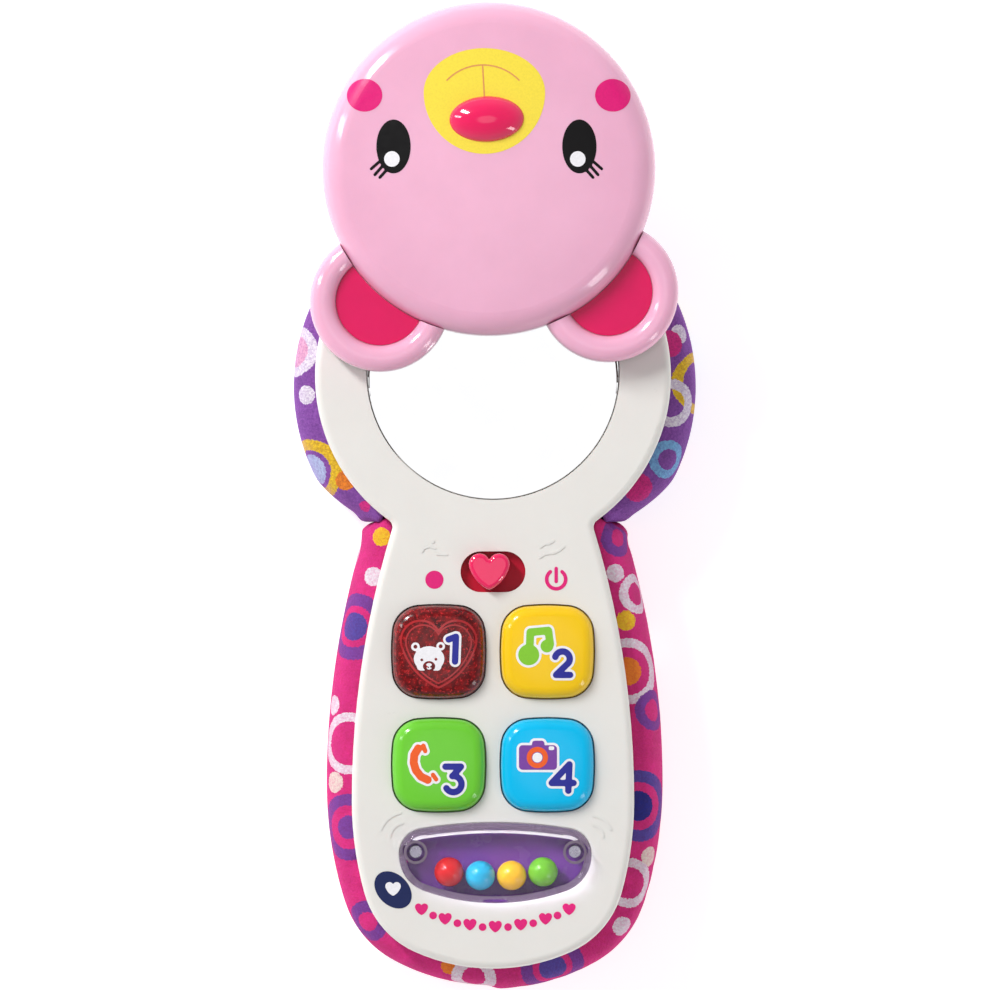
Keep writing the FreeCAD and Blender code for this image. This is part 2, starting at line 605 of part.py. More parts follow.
def on_lid(item, x="0", y="0", z="0"):
    """Turn a piece by the cover's lean and set it on the pivot, at a place in the cover's own frame."""
    item.Placement = FreeCAD.Placement(FreeCAD.Vector(), FreeCAD.Rotation(FreeCAD.Vector(0, 0, 1), 1))
    sine, cosine = "sin(lid_lean * 1deg)", "cos(lid_lean * 1deg)"
    place(item, f"({x}) * {cosine} - ({y}) * {sine}", f"pivot_y + ({x}) * {sine} + ({y}) * {cosine}", z)
    return bind(item, Placement__Rotation__Angle="lid_lean")


def lid_back():
    """Back of the bear cover: base disc, two hollow-faced ears and the hub that turns in the bush."""
    body = new_body("lid_back")
    ears = [("ear_x", "-ear_reach"), ("-ear_x", "-ear_reach")]
    disc = new_sketch(body, LID_LOW)
    circles(disc, "face_radius", [("0", "face_reach")])
    pad(body, disc, "lid_base")
    ear = new_sketch(body, LID_LOW)
    circles(ear, "ear_radius", ears)
    pad(body, ear, "ear_height")
    round_edges(body, at_height(f"{LID_LOW} + ear_height"), "ear_round")
    hollow = new_sketch(body, f"{LID_LOW} + ear_height")
    circles(hollow, "ear_inner", ears)
    pocket(body, hollow, "ear_height - ear_floor")
    rims = at_height(f"{LID_LOW} + ear_height")
    inner = number("ear_inner")
    round_edges(body, lambda edge: rims(edge) and abs(edge.BoundBox.XLength - 2 * inner) < 0.1, "ear_round")
    face_seat = new_sketch(body, LID_JOINT)
    circles(face_seat, "face_radius + running", [("0", "face_reach")])
    pocket(body, face_seat, "ear_height", upwards=True)
    hub = new_sketch(body, HUB_LOW)
    circles(hub, "hub_radius", [("0", "0")])
    pad(body, hub, f"{LID_LOW} - ({HUB_LOW}) + lift")
    hub_hole = new_sketch(body, HUB_LOW)
    circles(hub_hole, "screw_radius", [("0", "0")])
    pocket(body, hub_hole, "hub_screw_length + lift", upwards=True)
    heads = new_sketch(body, LID_LOW)
    circles(heads, "screw_head + lift", LID_SCREWS)
    pocket(body, heads, "screw_head_height", upwards=True)
    holes = new_sketch(body, LID_LOW)
    circles(holes, "screw_radius", LID_SCREWS)
    pocket(body, holes, "lid_base", upwards=True)
    return on_lid(body)


def crown_radius(rise, half, corner, corner_rise):
    """Radius of the crown that touches a corner arc, from the rise of the crown over the joint."""
    depth = rise - corner_rise
    reach = half - corner
    return (reach ** 2 + depth ** 2 - corner ** 2) / (2 * (depth - corner))


def lid_face():
    """Domed face of the bear cover, turned about its centre, with three screw posts."""
    body = new_body("lid_face")
    profile = new_sketch(body, "-face_reach", plane="XZ_Plane")
    face_profile(profile)
    dome = body.newObject("PartDesign::Revolution", "lid_face_dome")
    dome.Profile = profile
    dome.ReferenceAxis = (profile, ["V_Axis"])
    DOC.recompute()
    posts = new_sketch(body, LID_JOINT)
    circles(posts, "post_radius", LID_SCREWS)
    pad(body, posts, "face_crown - face_wall")
    holes = new_sketch(body, LID_JOINT)
    circles(holes, "screw_radius", LID_SCREWS)
    pocket(body, holes, "short_screw_length", upwards=True)
    return on_lid(body)


def face_profile(sketch):
    """Half of the face's section: crown, corner and edge outside, and the same inside, a wall thinner."""
    half, corner, wall = number("face_radius"), number("face_corner"), number("face_wall")
    joint, top = number(LID_JOINT), number(LID_TOP)
    edge_top = joint + number("face_edge")
    crown = crown_radius(top - joint, half, corner, edge_top - joint)
    turn = FreeCAD.Vector(0, 0, 1)
    crown_centre = FreeCAD.Vector(0, top - crown, 0)
    corner_centre = FreeCAD.Vector(half - corner, edge_top, 0)
    tilt = math.atan2(corner_centre.y - crown_centre.y, corner_centre.x)
    for inset in (0, wall):
        crown_circle = Part.Circle(crown_centre, turn, crown - inset)
        corner_circle = Part.Circle(corner_centre, turn, corner - inset)
        sketch.addGeometry(Part.ArcOfCircle(crown_circle, tilt, math.pi / 2), False)
        sketch.addGeometry(Part.ArcOfCircle(corner_circle, 0, tilt), False)
    corners = [(half, edge_top), (half, joint), (half - wall, joint), (half - wall, edge_top)]
    for first, last in zip(corners, corners[1:]):
        sketch.addGeometry(Part.LineSegment(FreeCAD.Vector(*first, 0), FreeCAD.Vector(*last, 0)), False)
    axis_ends = [(0, top - wall), (0, top)]
    sketch.addGeometry(Part.LineSegment(*[FreeCAD.Vector(*end, 0) for end in axis_ends]), False)
    joins = [(0, 1, 1, 2), (1, 1, 4, 1), (4, 2, 5, 1), (5, 2, 6, 1),
             (6, 2, 3, 1), (3, 2, 2, 1), (2, 2, 7, 1), (7, 2, 0, 2)]
    for join in joins:
        constrain(sketch, "Coincident", *join)
    constrain(sketch, "Radius", 1, corner, cell="face_corner")
    constrain(sketch, "Radius", 3, corner - wall, cell="face_corner - face_wall")
    constrain(sketch, "DistanceX", -1, 1, 4, 2, half, cell="face_radius")
    constrain(sketch, "DistanceY", -1, 1, 4, 2, joint, cell=LID_JOINT)
    constrain(sketch, "DistanceX", -1, 1, 5, 2, half - wall, cell="face_radius - face_wall")


def nose():
    """Glossy nose: half an ellipsoid that stands on the face."""
    blank = DOC.addObject("Part::Ellipsoid", "nose_blank")
    bind(blank, Radius1="nose_rise", Radius2="nose_half_width", Radius3="nose_half_height")
    blank.Angle1 = 0
    on_lid(blank, "0", "nose_reach", f"{LID_TOP} - nose_sink")
    piece = cut("nose", blank, DOC.getObject("lid_face"))
    return piece


def ear_inlay(name, x):
    """Flat coloured inlay in the hollow of an ear, cut round by the face."""
    disc = cylinder(name + "_disc", "ear_inner - inlay_gap", "inlay_thick",
                    x, "-ear_reach", f"{LID_LOW} + ear_floor")
    bite = cylinder(name + "_bite", "face_radius + 2 * inlay_gap", "lid_base + face_crown",
                    "0", "face_reach", LID_LOW)
    return on_lid(cut(name, disc, bite))


def pivot_washer():
    """Broad washer that keeps the hub in its bush."""
    disc = cylinder("washer_disc", "washer_radius", "washer_thick", z=f"{HUB_LOW} - washer_thick")
    hole = cylinder("washer_hole", "screw_radius", "washer_thick + 2 * overlap",
                    z=f"{HUB_LOW} - washer_thick - overlap")
    return on_lid(cut("pivot_washer", disc, hole))


def lid_screws():
    """Three screws through the back of the cover into its face."""
    blanks = [screw(f"lid_screw_{i}", "short_screw_length", x, y, f"{LID_LOW} + screw_head_height")
              for i, (x, y) in enumerate(LID_SCREWS, start=1)]
    return on_lid(group("lid_screws", blanks))


# ---------------------------------------------------------------- buttons and the heart switch

def button(name, x, y):
    """Sprung key: crowned cap, retaining flange and plunger."""
    body = new_body(name + "_blank")
    plunger = new_sketch(body, f"{FLANGE_LOW} - plunger_length")
    circles(plunger, "plunger_radius", [(x, y)])
    pad(body, plunger, "plunger_length")
    flange = new_sketch(body, FLANGE_LOW)
    cushion_outline(flange, "button_half + flange", "button_bulge + flange", "button_corner + flange", x, y)
    pad(body, flange, "flange_thick")
    cap = new_sketch(body, FLANGE_TOP)
    cushion_outline(cap, "button_half", "button_bulge", "button_corner", x, y)
    pad(body, cap, f"plate_top + button_rise - ({FLANGE_TOP}) + overlap")
    crown = DOC.addObject("Part::Sphere", name + "_crown")
    bind(crown, Radius="button_crown")
    place(crown, x, y, "plate_top + button_rise - button_crown")
    capped = DOC.addObject("Part::Common", name + "_capped")
    capped.Base = body
    capped.Tool = crown
    DOC.recompute()
    rounded = DOC.addObject("Part::Fillet", name)
    rounded.Base = capped
    radius = number("button_round")
    level = number("plate_top")
    rounded.Edges = [(i, radius, radius) for i, edge in enumerate(capped.Shape.Edges, start=1)
                     if edge.BoundBox.ZMin > level]
    return rounded


def heart_knob():
    """Heart-shaped knob that the finger slides."""
    body = new_body("heart_knob")
    outline = new_sketch(body, FLANGE_TOP)
    heart_outline(outline, "heart_x", "-slot_y")
    pad(body, outline, f"plate_top + heart_rise - ({FLANGE_TOP})")
    round_edges(body, at_height("plate_top + heart_rise"), "heart_round")
    return body


def slide_plate():
    """Plate under the slot that carries the heart and pushes the switch lever with two prongs."""
    body = new_body("slide_plate")
    outline = new_sketch(body, FLANGE_LOW)
    stadium(outline, "slide_half_length", "slide_half_width", "heart_x", "-slot_y")
    pad(body, outline, "flange_thick")
    for side in ("-", ""):
        near, far = "lever_half + prong_gap", "lever_half + prong_gap + prong_width"
        low, high = (far, near) if side else (near, far)
        prong = new_sketch(body, f"{FLANGE_LOW} - prong_depth")
        rectangle(prong, (f"heart_x + {side}({low})", "-slot_y - lever_half"),
                  (f"heart_x + {side}({high})", "-slot_y + lever_half"))
        pad(body, prong, "prong_depth")
    return body


def switch_lever():
    """Lever of the slide switch, between the two prongs."""
    foot = f"{BOARD_TOP} + switch_height + lift"
    low = ("heart_x - lever_half", "-slot_y - lever_half", foot)
    high = ("heart_x + lever_half", "-slot_y + lever_half", f"{foot} + lever_height")
    return box("switch_lever", low, high)


# ---------------------------------------------------------------- bead window

def snap_places():
    """The lowest and highest y of the two snaps in the window's rim, below and above the beads."""
    return [("-window_low + 1.5 * snap_gap", "-window_low + chamber_inset - snap_gap"),
            ("-window_top - chamber_inset + snap_gap", "-window_top - 1.5 * snap_gap")]


def bead_window():
    """Clear cover over the beads: raised window on its seat, two screw bosses and two snaps."""
    body = new_body("bead_window")
    raised = new_sketch(body, WINDOW_LOW)
    barrel_outline(raised, "0")
    pad(body, raised, f"plate_top + window_rise - ({WINDOW_LOW})")
    round_edges(body, at_height("plate_top + window_rise"), "window_round")
    chamber = new_sketch(body, WINDOW_LOW)
    barrel_outline(chamber, "-chamber_inset")
    pocket(body, chamber, f"{CHAMBER_TOP} - ({WINDOW_LOW})", upwards=True)
    bosses = new_sketch(body, "tray_floor + lift")
    circles(bosses, "boss_radius", WINDOW_BOSSES)
    pad(body, bosses, f"{CHAMBER_TOP} - tray_floor")
    holes = new_sketch(body, "tray_floor + lift")
    circles(holes, "screw_radius", WINDOW_BOSSES)
    pocket(body, holes, "short_screw_length - tray_thick", upwards=True)
    for low, high in snap_places():
        snap = new_sketch(body, f"{WINDOW_LOW} - snap_drop")
        rectangle(snap, ("window_x - snap_half", low), ("window_x + snap_half", high))
        pad(body, snap, "snap_drop + lift")
    return body


def bead_tray():
    """Purple tub under the front that closes the bead chamber and takes the window's screws."""
    body = new_body("bead_tray")
    outer = new_sketch(body, TRAY_LOW)
    barrel_outline(outer, "tray_grow")
    pad(body, outer, f"{TRAY_HIGH} - ({TRAY_LOW})")
    chamber = new_sketch(body, "tray_floor")
    barrel_outline(chamber, "-chamber_inset", top="tray_top")
    pocket(body, chamber, f"{TRAY_HIGH} - tray_floor", upwards=True)
    boss_seats = new_sketch(body, "tray_floor")
    circles(boss_seats, "boss_radius + snap_gap", WINDOW_BOSSES)
    pocket(body, boss_seats, f"{TRAY_HIGH} - tray_floor", upwards=True)
    holes = new_sketch(body, TRAY_LOW)
    circles(holes, "screw_radius", WINDOW_BOSSES)
    pocket(body, holes, "tray_thick", upwards=True)
    return body


def window_screws():
    blanks = [screw(f"window_screw_{i}", "short_screw_length", x, y, TRAY_LOW)
              for i, (x, y) in enumerate(WINDOW_BOSSES, start=1)]
    return group("window_screws", blanks)


def bead(name, index):
    """One rolling bead; the two end beads lie a little higher in the curved chamber."""
    piece = DOC.addObject("Part::Sphere", name)
    bind(piece, Radius="bead_radius")
    rise = "bead_end_rise" if index in (0, len(BEADS) - 1) else "0"
    return place(piece, f"bead_first_x + {index} * bead_pitch", f"-bead_y + {rise}",
                 "tray_floor + bead_radius + bead_lift")


# ---------------------------------------------------------------- electronics

def circuit_board():
    """Board under the buttons with its moulded chip."""
    board = box("board_plate", ("-board_half", "-board_low", "board_z"),
                ("board_half", "-board_high", BOARD_TOP))
    chip = cone("board_chip", "chip_radius", "chip_radius / 2", "chip_height", "0", "-chip_y", BOARD_TOP)
    return fuse("circuit_board", [board, chip])


def rubber_dome(name, x, y):
    """Rubber spring between the board and a button's plunger."""
    height = f"{FLANGE_LOW} - plunger_length - ({BOARD_TOP})"
    return cone(name, "dome_foot", "plunger_radius", height, x, y, BOARD_TOP)


def power_switch():
    low = ("-switch_half_length", "-slot_y - switch_half_width", BOARD_TOP)
    high = ("switch_half_length", "-slot_y + switch_half_width", f"{BOARD_TOP} + switch_height")
    return box("power_switch", low, high)


def cover_switch():
    """Switch beside the pivot that feels whether the bear cover is open."""
    seat = f"{MIRROR_SEAT} - mirror_floor"
    low = ("lid_switch_x - lid_switch_half", "pivot_y - lid_switch_half", f"{seat} - lid_switch_height")
    high = ("lid_switch_x + lid_switch_half", "pivot_y + lid_switch_half", seat)
    return box("cover_switch", low, high)


def led():
    """Lamp under the first button."""
    stem = cylinder("led_stem", "led_radius", "led_height - led_radius", "led_x", "-button_high", BOARD_TOP)
    tip = DOC.addObject("Part::Sphere", "led_tip")
    bind(tip, Radius="led_radius")
    place(tip, "led_x", "-button_high", f"{BOARD_TOP} + led_height - led_radius")
    return fuse("led", [stem, tip])


def loudspeaker():
    """Loudspeaker: rim, cone basket and magnet."""
    seat = "shell_back + wall"
    rim = cylinder("speaker_rim", "speaker_radius", "speaker_rim", "0", "speaker_y", seat)
    basket = cone("speaker_basket", "speaker_radius - speaker_rim", "magnet_radius", "speaker_height",
                  "0", "speaker_y", seat)
    magnet = cylinder("speaker_magnet", "magnet_radius", "magnet_height", "0", "speaker_y",
                      f"{seat} + speaker_height")
    return fuse("loudspeaker", [rim, basket, magnet])


def lying_cylinder(name, radius, length, x, y, z):
    """A cylinder that runs along +Y."""
    piece = DOC.addObject("Part::Cylinder", name)
    piece.Placement = FreeCAD.Placement(FreeCAD.Vector(), FreeCAD.Rotation(FreeCAD.Vector(1, 0, 0), -90))
    bind(piece, Radius=radius, Height=length)
    return place(piece, x, y, z)


def battery_cell(name, x, nub_ahead):
    """A cell along Y, its nub towards +Y when nub_ahead is true."""
    start = "-cell_end_y" if nub_ahead else "-cell_end_y + nub_length"
    nub_start = "-cell_end_y + cell_length - nub_length" if nub_ahead else "-cell_end_y"
    can = lying_cylinder(name + "_can", "cell_radius", "cell_length - nub_length", x, start, "cell_z")
    nub = lying_cylinder(name + "_nub", "nub_radius", "nub_length", x, nub_start, "cell_z")
    return fuse(name, [can, nub])


def battery_contacts():
    """Two single contacts at the head end and one bridge at the other."""
    pieces = []
    head_end, foot_end = "-cell_end_y + cell_length", "-cell_end_y"
    for side, x in (("left", "-cell_x"), ("right", "cell_x")):
        plate = box(f"contact_{side}_plate",
                    (f"{x} - contact_half", "-box_high - contact_thick", "contact_low_z"),
                    (f"{x} + contact_half", "-box_high", "contact_low_z + contact_height"))
        spring = lying_cylinder(f"contact_{side}_spring", "nub_radius", f"-box_high - ({head_end})",
                                x, head_end, "cell_z")
        pieces.append(fuse(f"contact_{side}", [plate, spring]))
    bridge = [box("bridge_plate", ("-cell_x - contact_half", "-box_low", "contact_low_z"),
                  ("cell_x + contact_half", "-box_low + contact_thick", "contact_low_z + contact_height"))]
    for side, x in (("left", "-cell_x"), ("right", "cell_x")):
        bridge.append(lying_cylinder(f"bridge_{side}_spring", "nub_radius", f"{foot_end} + box_low",
                                     x, "-box_low", "cell_z"))
    pieces.append(fuse("contact_bridge", bridge))
    return group("battery_contacts", pieces)


def battery_door():
    """Door over the cells, held by one screw, with ribs for grip at its edge."""
    body = new_body("battery_door")
    outline = new_sketch(body, "island_z")
    rectangle(outline, ("-door_half", "-door_low"), ("door_half", "-door_high"))
    pad(body, outline, "door_thick")
    head = new_sketch(body, "island_z")
    circles(head, "screw_head + lift", [("0", "-door_screw_y")])
    pocket(body, head, "screw_head_height", upwards=True)
    hole = new_sketch(body, "island_z")
    circles(hole, "screw_radius", [("0", "-door_screw_y")])
    pocket(body, hole, "door_thick", upwards=True)
    for step in range(DOOR_GROOVES):
        groove = new_sketch(body, "island_z")
        rectangle(groove, ("-groove_half", f"-groove_y - {step} * groove_pitch"),
                  ("groove_half", f"-groove_y - {step} * groove_pitch + groove_width"))
        pocket(body, groove, "groove_depth", upwards=True)
    return body


def case_screws():
    """Six screws through the rear shell into the front plate."""
    blanks = [screw(f"case_screw_{i}", "case_screw_length", x, y, "case_screw_z")
              for i, (x, y) in enumerate(CASE_SCREWS, start=1)]
    return group("case_screws", blanks)


# ---------------------------------------------------------------- the assembly

def build():
    """Every sub-part of the phone."""
    parts = [
        front_plate(),
        rear_shell(),
        padded_cover("head_cover", "-pad_handle_end - overlap", "-seam"),
        padded_cover("handle_cover", "-seam - pad_gap", "pad_head_y + pad_head_radius + overlap"),
        mirror(),
        lid_back(),
        lid_face(),
    ]
    DOC.recompute()
    parts += [
        nose(),
        ear_inlay("ear_inlay_left", "-ear_x"),
        ear_inlay("ear_inlay_right", "ear_x"),
        pivot_washer(),
        on_lid(screw("pivot_screw", "hub_screw_length", "0", "0", f"{HUB_LOW} - washer_thick")),
        lid_screws(),
        heart_knob(),
        slide_plate(),
        switch_lever(),
        bead_window(),
        bead_tray(),
        window_screws(),
        circuit_board(),
        power_switch(),
        cover_switch(),
        led(),
        loudspeaker(),
        battery_cell("battery_cell_1", "-cell_x", True),
        battery_cell("battery_cell_2", "cell_x", False),
        battery_contacts(),
        battery_door(),
        screw("door_screw", "short_screw_length", "0", "-door_screw_y", "island_z + screw_head_height"),
        case_screws(),
    ]
    for name, (x, y) in BUTTONS.items():
        parts.append(button(name, x, y))
        parts.append(rubber_dome(name.replace("button", "rubber_dome"), x, y))
    parts += [bead(name, index) for index, name in enumerate(BEADS)]
    DOC.recompute()
    return parts


def check(parts):
    """Stop if any object failed, or any sub-part has no sound shape."""
    failed = [item.Label for item in DOC.Objects if {"Invalid", "Error"} & set(item.State)]
    unsound = [part.Label for part in parts if part.Shape.isNull() or not part.Shape.isValid()]
    if failed or unsound:
        raise RuntimeError(f"failed: {failed}; unsound: {unsound}")


def write(parts):
    os.makedirs("parts", exist_ok=True)
    for part in parts:
        part.Shape.exportStep(f"parts/{part.Label}.step")
        extent = part.Shape.BoundBox
        print(f"{part.Label:18s} solids {len(part.Shape.Solids)}  volume {part.Shape.Volume:10.1f}  "
              f"z {extent.ZMin:6.2f} to {extent.ZMax:6.2f}")


PARTS = build()
check(PARTS)
write(PARTS)
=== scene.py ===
import json
import math

import bmesh
import bpy
import numpy as np
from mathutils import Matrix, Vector
from mathutils.bvhtree import BVHTree


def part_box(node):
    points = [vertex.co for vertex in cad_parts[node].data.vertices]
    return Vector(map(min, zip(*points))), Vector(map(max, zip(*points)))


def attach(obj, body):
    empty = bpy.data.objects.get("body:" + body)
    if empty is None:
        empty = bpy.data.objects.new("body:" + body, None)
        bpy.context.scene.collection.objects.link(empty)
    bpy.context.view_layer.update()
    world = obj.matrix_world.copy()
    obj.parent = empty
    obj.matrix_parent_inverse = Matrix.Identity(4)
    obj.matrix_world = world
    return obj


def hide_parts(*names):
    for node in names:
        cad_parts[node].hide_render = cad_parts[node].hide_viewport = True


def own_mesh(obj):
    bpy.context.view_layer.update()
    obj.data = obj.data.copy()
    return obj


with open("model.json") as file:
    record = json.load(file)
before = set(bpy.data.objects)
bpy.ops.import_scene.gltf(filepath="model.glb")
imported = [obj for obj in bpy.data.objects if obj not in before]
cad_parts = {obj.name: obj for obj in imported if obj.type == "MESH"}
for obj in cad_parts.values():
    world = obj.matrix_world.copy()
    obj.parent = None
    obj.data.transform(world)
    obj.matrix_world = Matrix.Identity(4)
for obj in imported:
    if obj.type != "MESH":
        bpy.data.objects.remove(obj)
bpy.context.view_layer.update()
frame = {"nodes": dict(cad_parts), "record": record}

# Infant toy phone: padded velour body, white front, bear cover, buttons and bead window.
# Lengths in this script are millimetres and become metres by MM; the frame itself is in metres.
MM = 0.001
NODES = frame["nodes"]


def middle(node):
    """The centre of a node's box, in millimetres."""
    low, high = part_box(node)
    return (low + high) / 2 / MM


FACE = middle("lid_face")
SEAM_Y = (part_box("head_cover")[0].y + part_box("handle_cover")[1].y) / 2 / MM
ABOVE = 100  # a height over the whole phone, from which surfaces are looked for
DOWN = Vector((0, 0, -1))


# ---------------------------------------------------------------- colours

def srgb(red, green, blue):
    """A colour from 0-255 screen values, as linear light."""
    linear = []
    for value in (red, green, blue):
        share = value / 255
        linear.append(share / 12.92 if share <= 0.04045 else ((share + 0.055) / 1.055) ** 2.4)
    return (*linear, 1.0)


def shade(colour, factor):
    return (*[min(1.0, channel * factor) for channel in colour[:3]], 1.0)


WHITE = srgb(240, 234, 242)
IVORY = srgb(232, 229, 224)
PINK = srgb(240, 178, 206)
MAGENTA = srgb(222, 10, 92)
PURPLE = srgb(144, 82, 172)
HOT_PINK = srgb(224, 44, 136)
YELLOW = srgb(246, 206, 40)
LAVENDER = srgb(168, 140, 206)
NAVY = srgb(36, 40, 140)
ORANGE = srgb(244, 140, 40)
SKY = srgb(130, 190, 232)
CREAM = srgb(240, 226, 214)
PALE_BLUE = srgb(190, 204, 236)
VIOLET = srgb(126, 66, 164)
INDIGO = srgb(88, 74, 168)


# ---------------------------------------------------------------- flat shapes, as signed distances

def disc(x, y, radius):
    return lambda u, v: np.hypot(u - x, v - y) - radius


def oval(x, y, half_x, half_y, turn=0.0):
    """An ellipse, its distance scaled by the slope so that it can be grown evenly."""
    sine, cosine = math.sin(turn), math.cos(turn)

    def field(u, v):
        along = ((u - x) * cosine + (v - y) * sine) / half_x
        across = ((v - y) * cosine - (u - x) * sine) / half_y
        level = np.hypot(along, across)
        slope = np.hypot(along / half_x, across / half_y) / np.maximum(level, 1e-6)
        return (level - 1) / np.maximum(slope, 1e-6)
    return field


def line(points, radius):
    """A round-ended stroke through points."""
    def field(u, v):
        nearest = np.full(np.shape(u), np.inf)
        for (x0, y0), (x1, y1) in zip(points, points[1:]):
            run_x, run_y = x1 - x0, y1 - y0
            share = ((u - x0) * run_x + (v - y0) * run_y) / (run_x ** 2 + run_y ** 2)
            share = np.clip(share, 0, 1)
            nearest = np.minimum(nearest, np.hypot(u - x0 - share * run_x, v - y0 - share * run_y))
        return nearest - radius
    return field


def bow(x, y, reach, start, end, radius, steps=20):
    """A stroke along an arc, from one angle to another, in degrees."""
    angles = np.radians(np.linspace(start, end, steps))
    return line([(x + reach * math.cos(a), y + reach * math.sin(a)) for a in angles], radius)


def slab(x, y, half_x, half_y, corner):
    """A rectangle with round corners."""
    def field(u, v):
        over_x = np.abs(u - x) - half_x + corner
        over_y = np.abs(v - y) - half_y + corner
        outside = np.hypot(np.maximum(over_x, 0), np.maximum(over_y, 0))
        return outside + np.minimum(np.maximum(over_x, over_y), 0) - corner
    return field


def egg(x, y, half_x, above, below):
    """Two half ellipses that share their widest line."""
    upper, lower = oval(x, y, half_x, above), oval(x, y, half_x, below)
    return lambda u, v: np.where(v > y, upper(u, v), lower(u, v))


def heart(x, y, size):
    """A heart of a given half width: two lobes over a body with bulging sides and a point."""
    lobes = [disc(x + side * 0.4725 * size, y + 0.3626 * size, 0.5275 * size) for side in (-1, 1)]
    flanks = [disc(x + side * 0.704 * size, y + 0.7245 * size, 1.758 * size) for side in (-1, 1)]

    def field(u, v):
        cut = v - y - 0.35 * size + 0.16 * np.abs(u - x)
        body = np.maximum.reduce([flanks[0](u, v), flanks[1](u, v), cut])
        return np.minimum.reduce([lobes[0](u, v), lobes[1](u, v), body])
    return field


def join(*fields):
    return lambda u, v: np.minimum.reduce([field(u, v) for field in fields])


def without(field, *holes):
    return lambda u, v: np.maximum(field(u, v), -join(*holes)(u, v))


def within(field, other):
    return lambda u, v: np.maximum(field(u, v), other(u, v))


def grown(field, amount):
    return lambda u, v: field(u, v) - amount


def ring(field, radius):
    """A stroke along the edge of a shape."""
    return lambda u, v: np.abs(field(u, v)) - radius


# ---------------------------------------------------------------- prints laid on a surface

def clip_cell(corners, values):
    """The part of a square where the field is negative, as a list of keys and points."""
    points = []
    for i in range(len(corners)):
        following = (i + 1) % len(corners)
        (key, place), (next_key, next_place) = corners[i], corners[following]
        if values[i] < 0:
            points.append((key, place))
        if (values[i] < 0) != (values[following] < 0):
            share = values[i] / (values[i] - values[following])
            crossing = tuple(a + share * (b - a) for a, b in zip(place, next_place))
            points.append((frozenset((key, next_key)), crossing))
    return points


def flat_faces(field, low, high, step):
    """Points and faces that fill a flat shape, cut exactly along its outline."""
    columns = int((high[0] - low[0]) / step) + 2
    rows = int((high[1] - low[1]) / step) + 2
    xs = low[0] + step * np.arange(columns)
    ys = low[1] + step * np.arange(rows)
    grid = field(*np.meshgrid(xs, ys))
    least = 1e-3 * step
    grid = np.where(np.abs(grid) < least, least, grid)
    points, faces, index = [], [], {}
    for row in range(rows - 1):
        for column in range(columns - 1):
            square = [(column, row), (column + 1, row), (column + 1, row + 1), (column, row + 1)]
            values = [grid[j, i] for i, j in square]
            if min(values) >= 0:
                continue
            corners = [((i, j), (xs[i], ys[j])) for i, j in square]
            face = []
            for key, place in clip_cell(corners, values):
                if key not in index:
                    index[key] = len(points)
                    points.append(place)
                face.append(index[key])
            faces.append(face)
    return points, faces


class Surface:
    """The top of a CAD node, seen from above, where prints are laid."""

    def __init__(self, node):
        mesh = NODES[node].data
        self.tree = BVHTree.FromPolygons([v.co for v in mesh.vertices], [p.vertices for p in mesh.polygons])

    def height(self, x, y):
        """The highest surface at a place, in millimetres, or None beside the node."""
        hit = self.tree.ray_cast(Vector((x, y, ABOVE)) * MM, DOWN)[0]
        return None if hit is None else hit.z / MM


def box_about(x, y, reach):
    """The low and high corners of a square about a place."""
    return (x - reach, y - reach), (x + reach, y + reach)


def lay_print(name, field, low, high, surface, body, material, slot, lift=0.05, step=0.25, sink=0.03):
    """A thin closed layer of ink, or a low relief, in the shape of a field laid on a surface."""
    points, faces = flat_faces(field, low, high, step)
    heights = [surface.height(x, y) for x, y in points]
    kept = [face for face in faces if len(face) > 2 and all(heights[i] is not None for i in face)]
    mesh = bmesh.new()
    top, bottom = {}, {}
    for i in sorted({i for face in kept for i in face}):
        x, y = points[i]
        top[i] = mesh.verts.new(Vector((x, y, heights[i] + lift)) * MM)
        bottom[i] = mesh.verts.new(Vector((x, y, heights[i] - sink)) * MM)
    borders = {}  # a dict keeps the edges in a fixed order; shared edges cancel out
    for face in kept:
        mesh.faces.new([top[i] for i in face])
        mesh.faces.new([bottom[i] for i in reversed(face)])
        for first, second in zip(face, face[1:] + face[:1]):
            if (second, first) in borders:
                del borders[(second, first)]
            else:
                borders[(first, second)] = True
    for first, second in borders:
        mesh.faces.new([top[second], top[first], bottom[first], bottom[second]])
    finish_piece(mesh_object(name, mesh, smooth=False), body, material, slot)


# ---------------------------------------------------------------- mesh pieces

def mesh_object(name, mesh, smooth=True):
    """A Blender object from a bmesh, which is used up."""
    data = bpy.data.meshes.new(name)
    bmesh.ops.recalc_face_normals(mesh, faces=mesh.faces)
    mesh.to_mesh(data)
    mesh.free()
    for face in data.polygons:
        face.use_smooth = smooth
    piece = bpy.data.objects.new(name, data)
    bpy.context.scene.collection.objects.link(piece)
    return piece


def finish_piece(piece, body, material, slot):
    """Give a piece its material and the body that it rides on; slot is not used."""
    piece.data.materials.clear()
    piece.data.materials.append(material)
    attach(piece, body)


def turned(name, profile, x, y, segments=48):
    """A closed piece of revolution about a vertical axis; the profile is (radius, height) in millimetres."""
    mesh = bmesh.new()
    rings = []
    for radius, height in profile:
        circle = []
        for i in range(segments):
            angle = 2 * math.pi * i / segments
            place = Vector((x + radius * math.cos(angle), y + radius * math.sin(angle), height))
            circle.append(mesh.verts.new(place * MM))
        rings.append(circle)
    for lower, upper in zip(rings, rings[1:] + rings[:1]):
        for i in range(segments):
            following = (i + 1) % segments
            mesh.faces.new([lower[i], lower[following], upper[following], upper[i]])
    return mesh_object(name, mesh)


# ---------------------------------------------------------------- material helpers

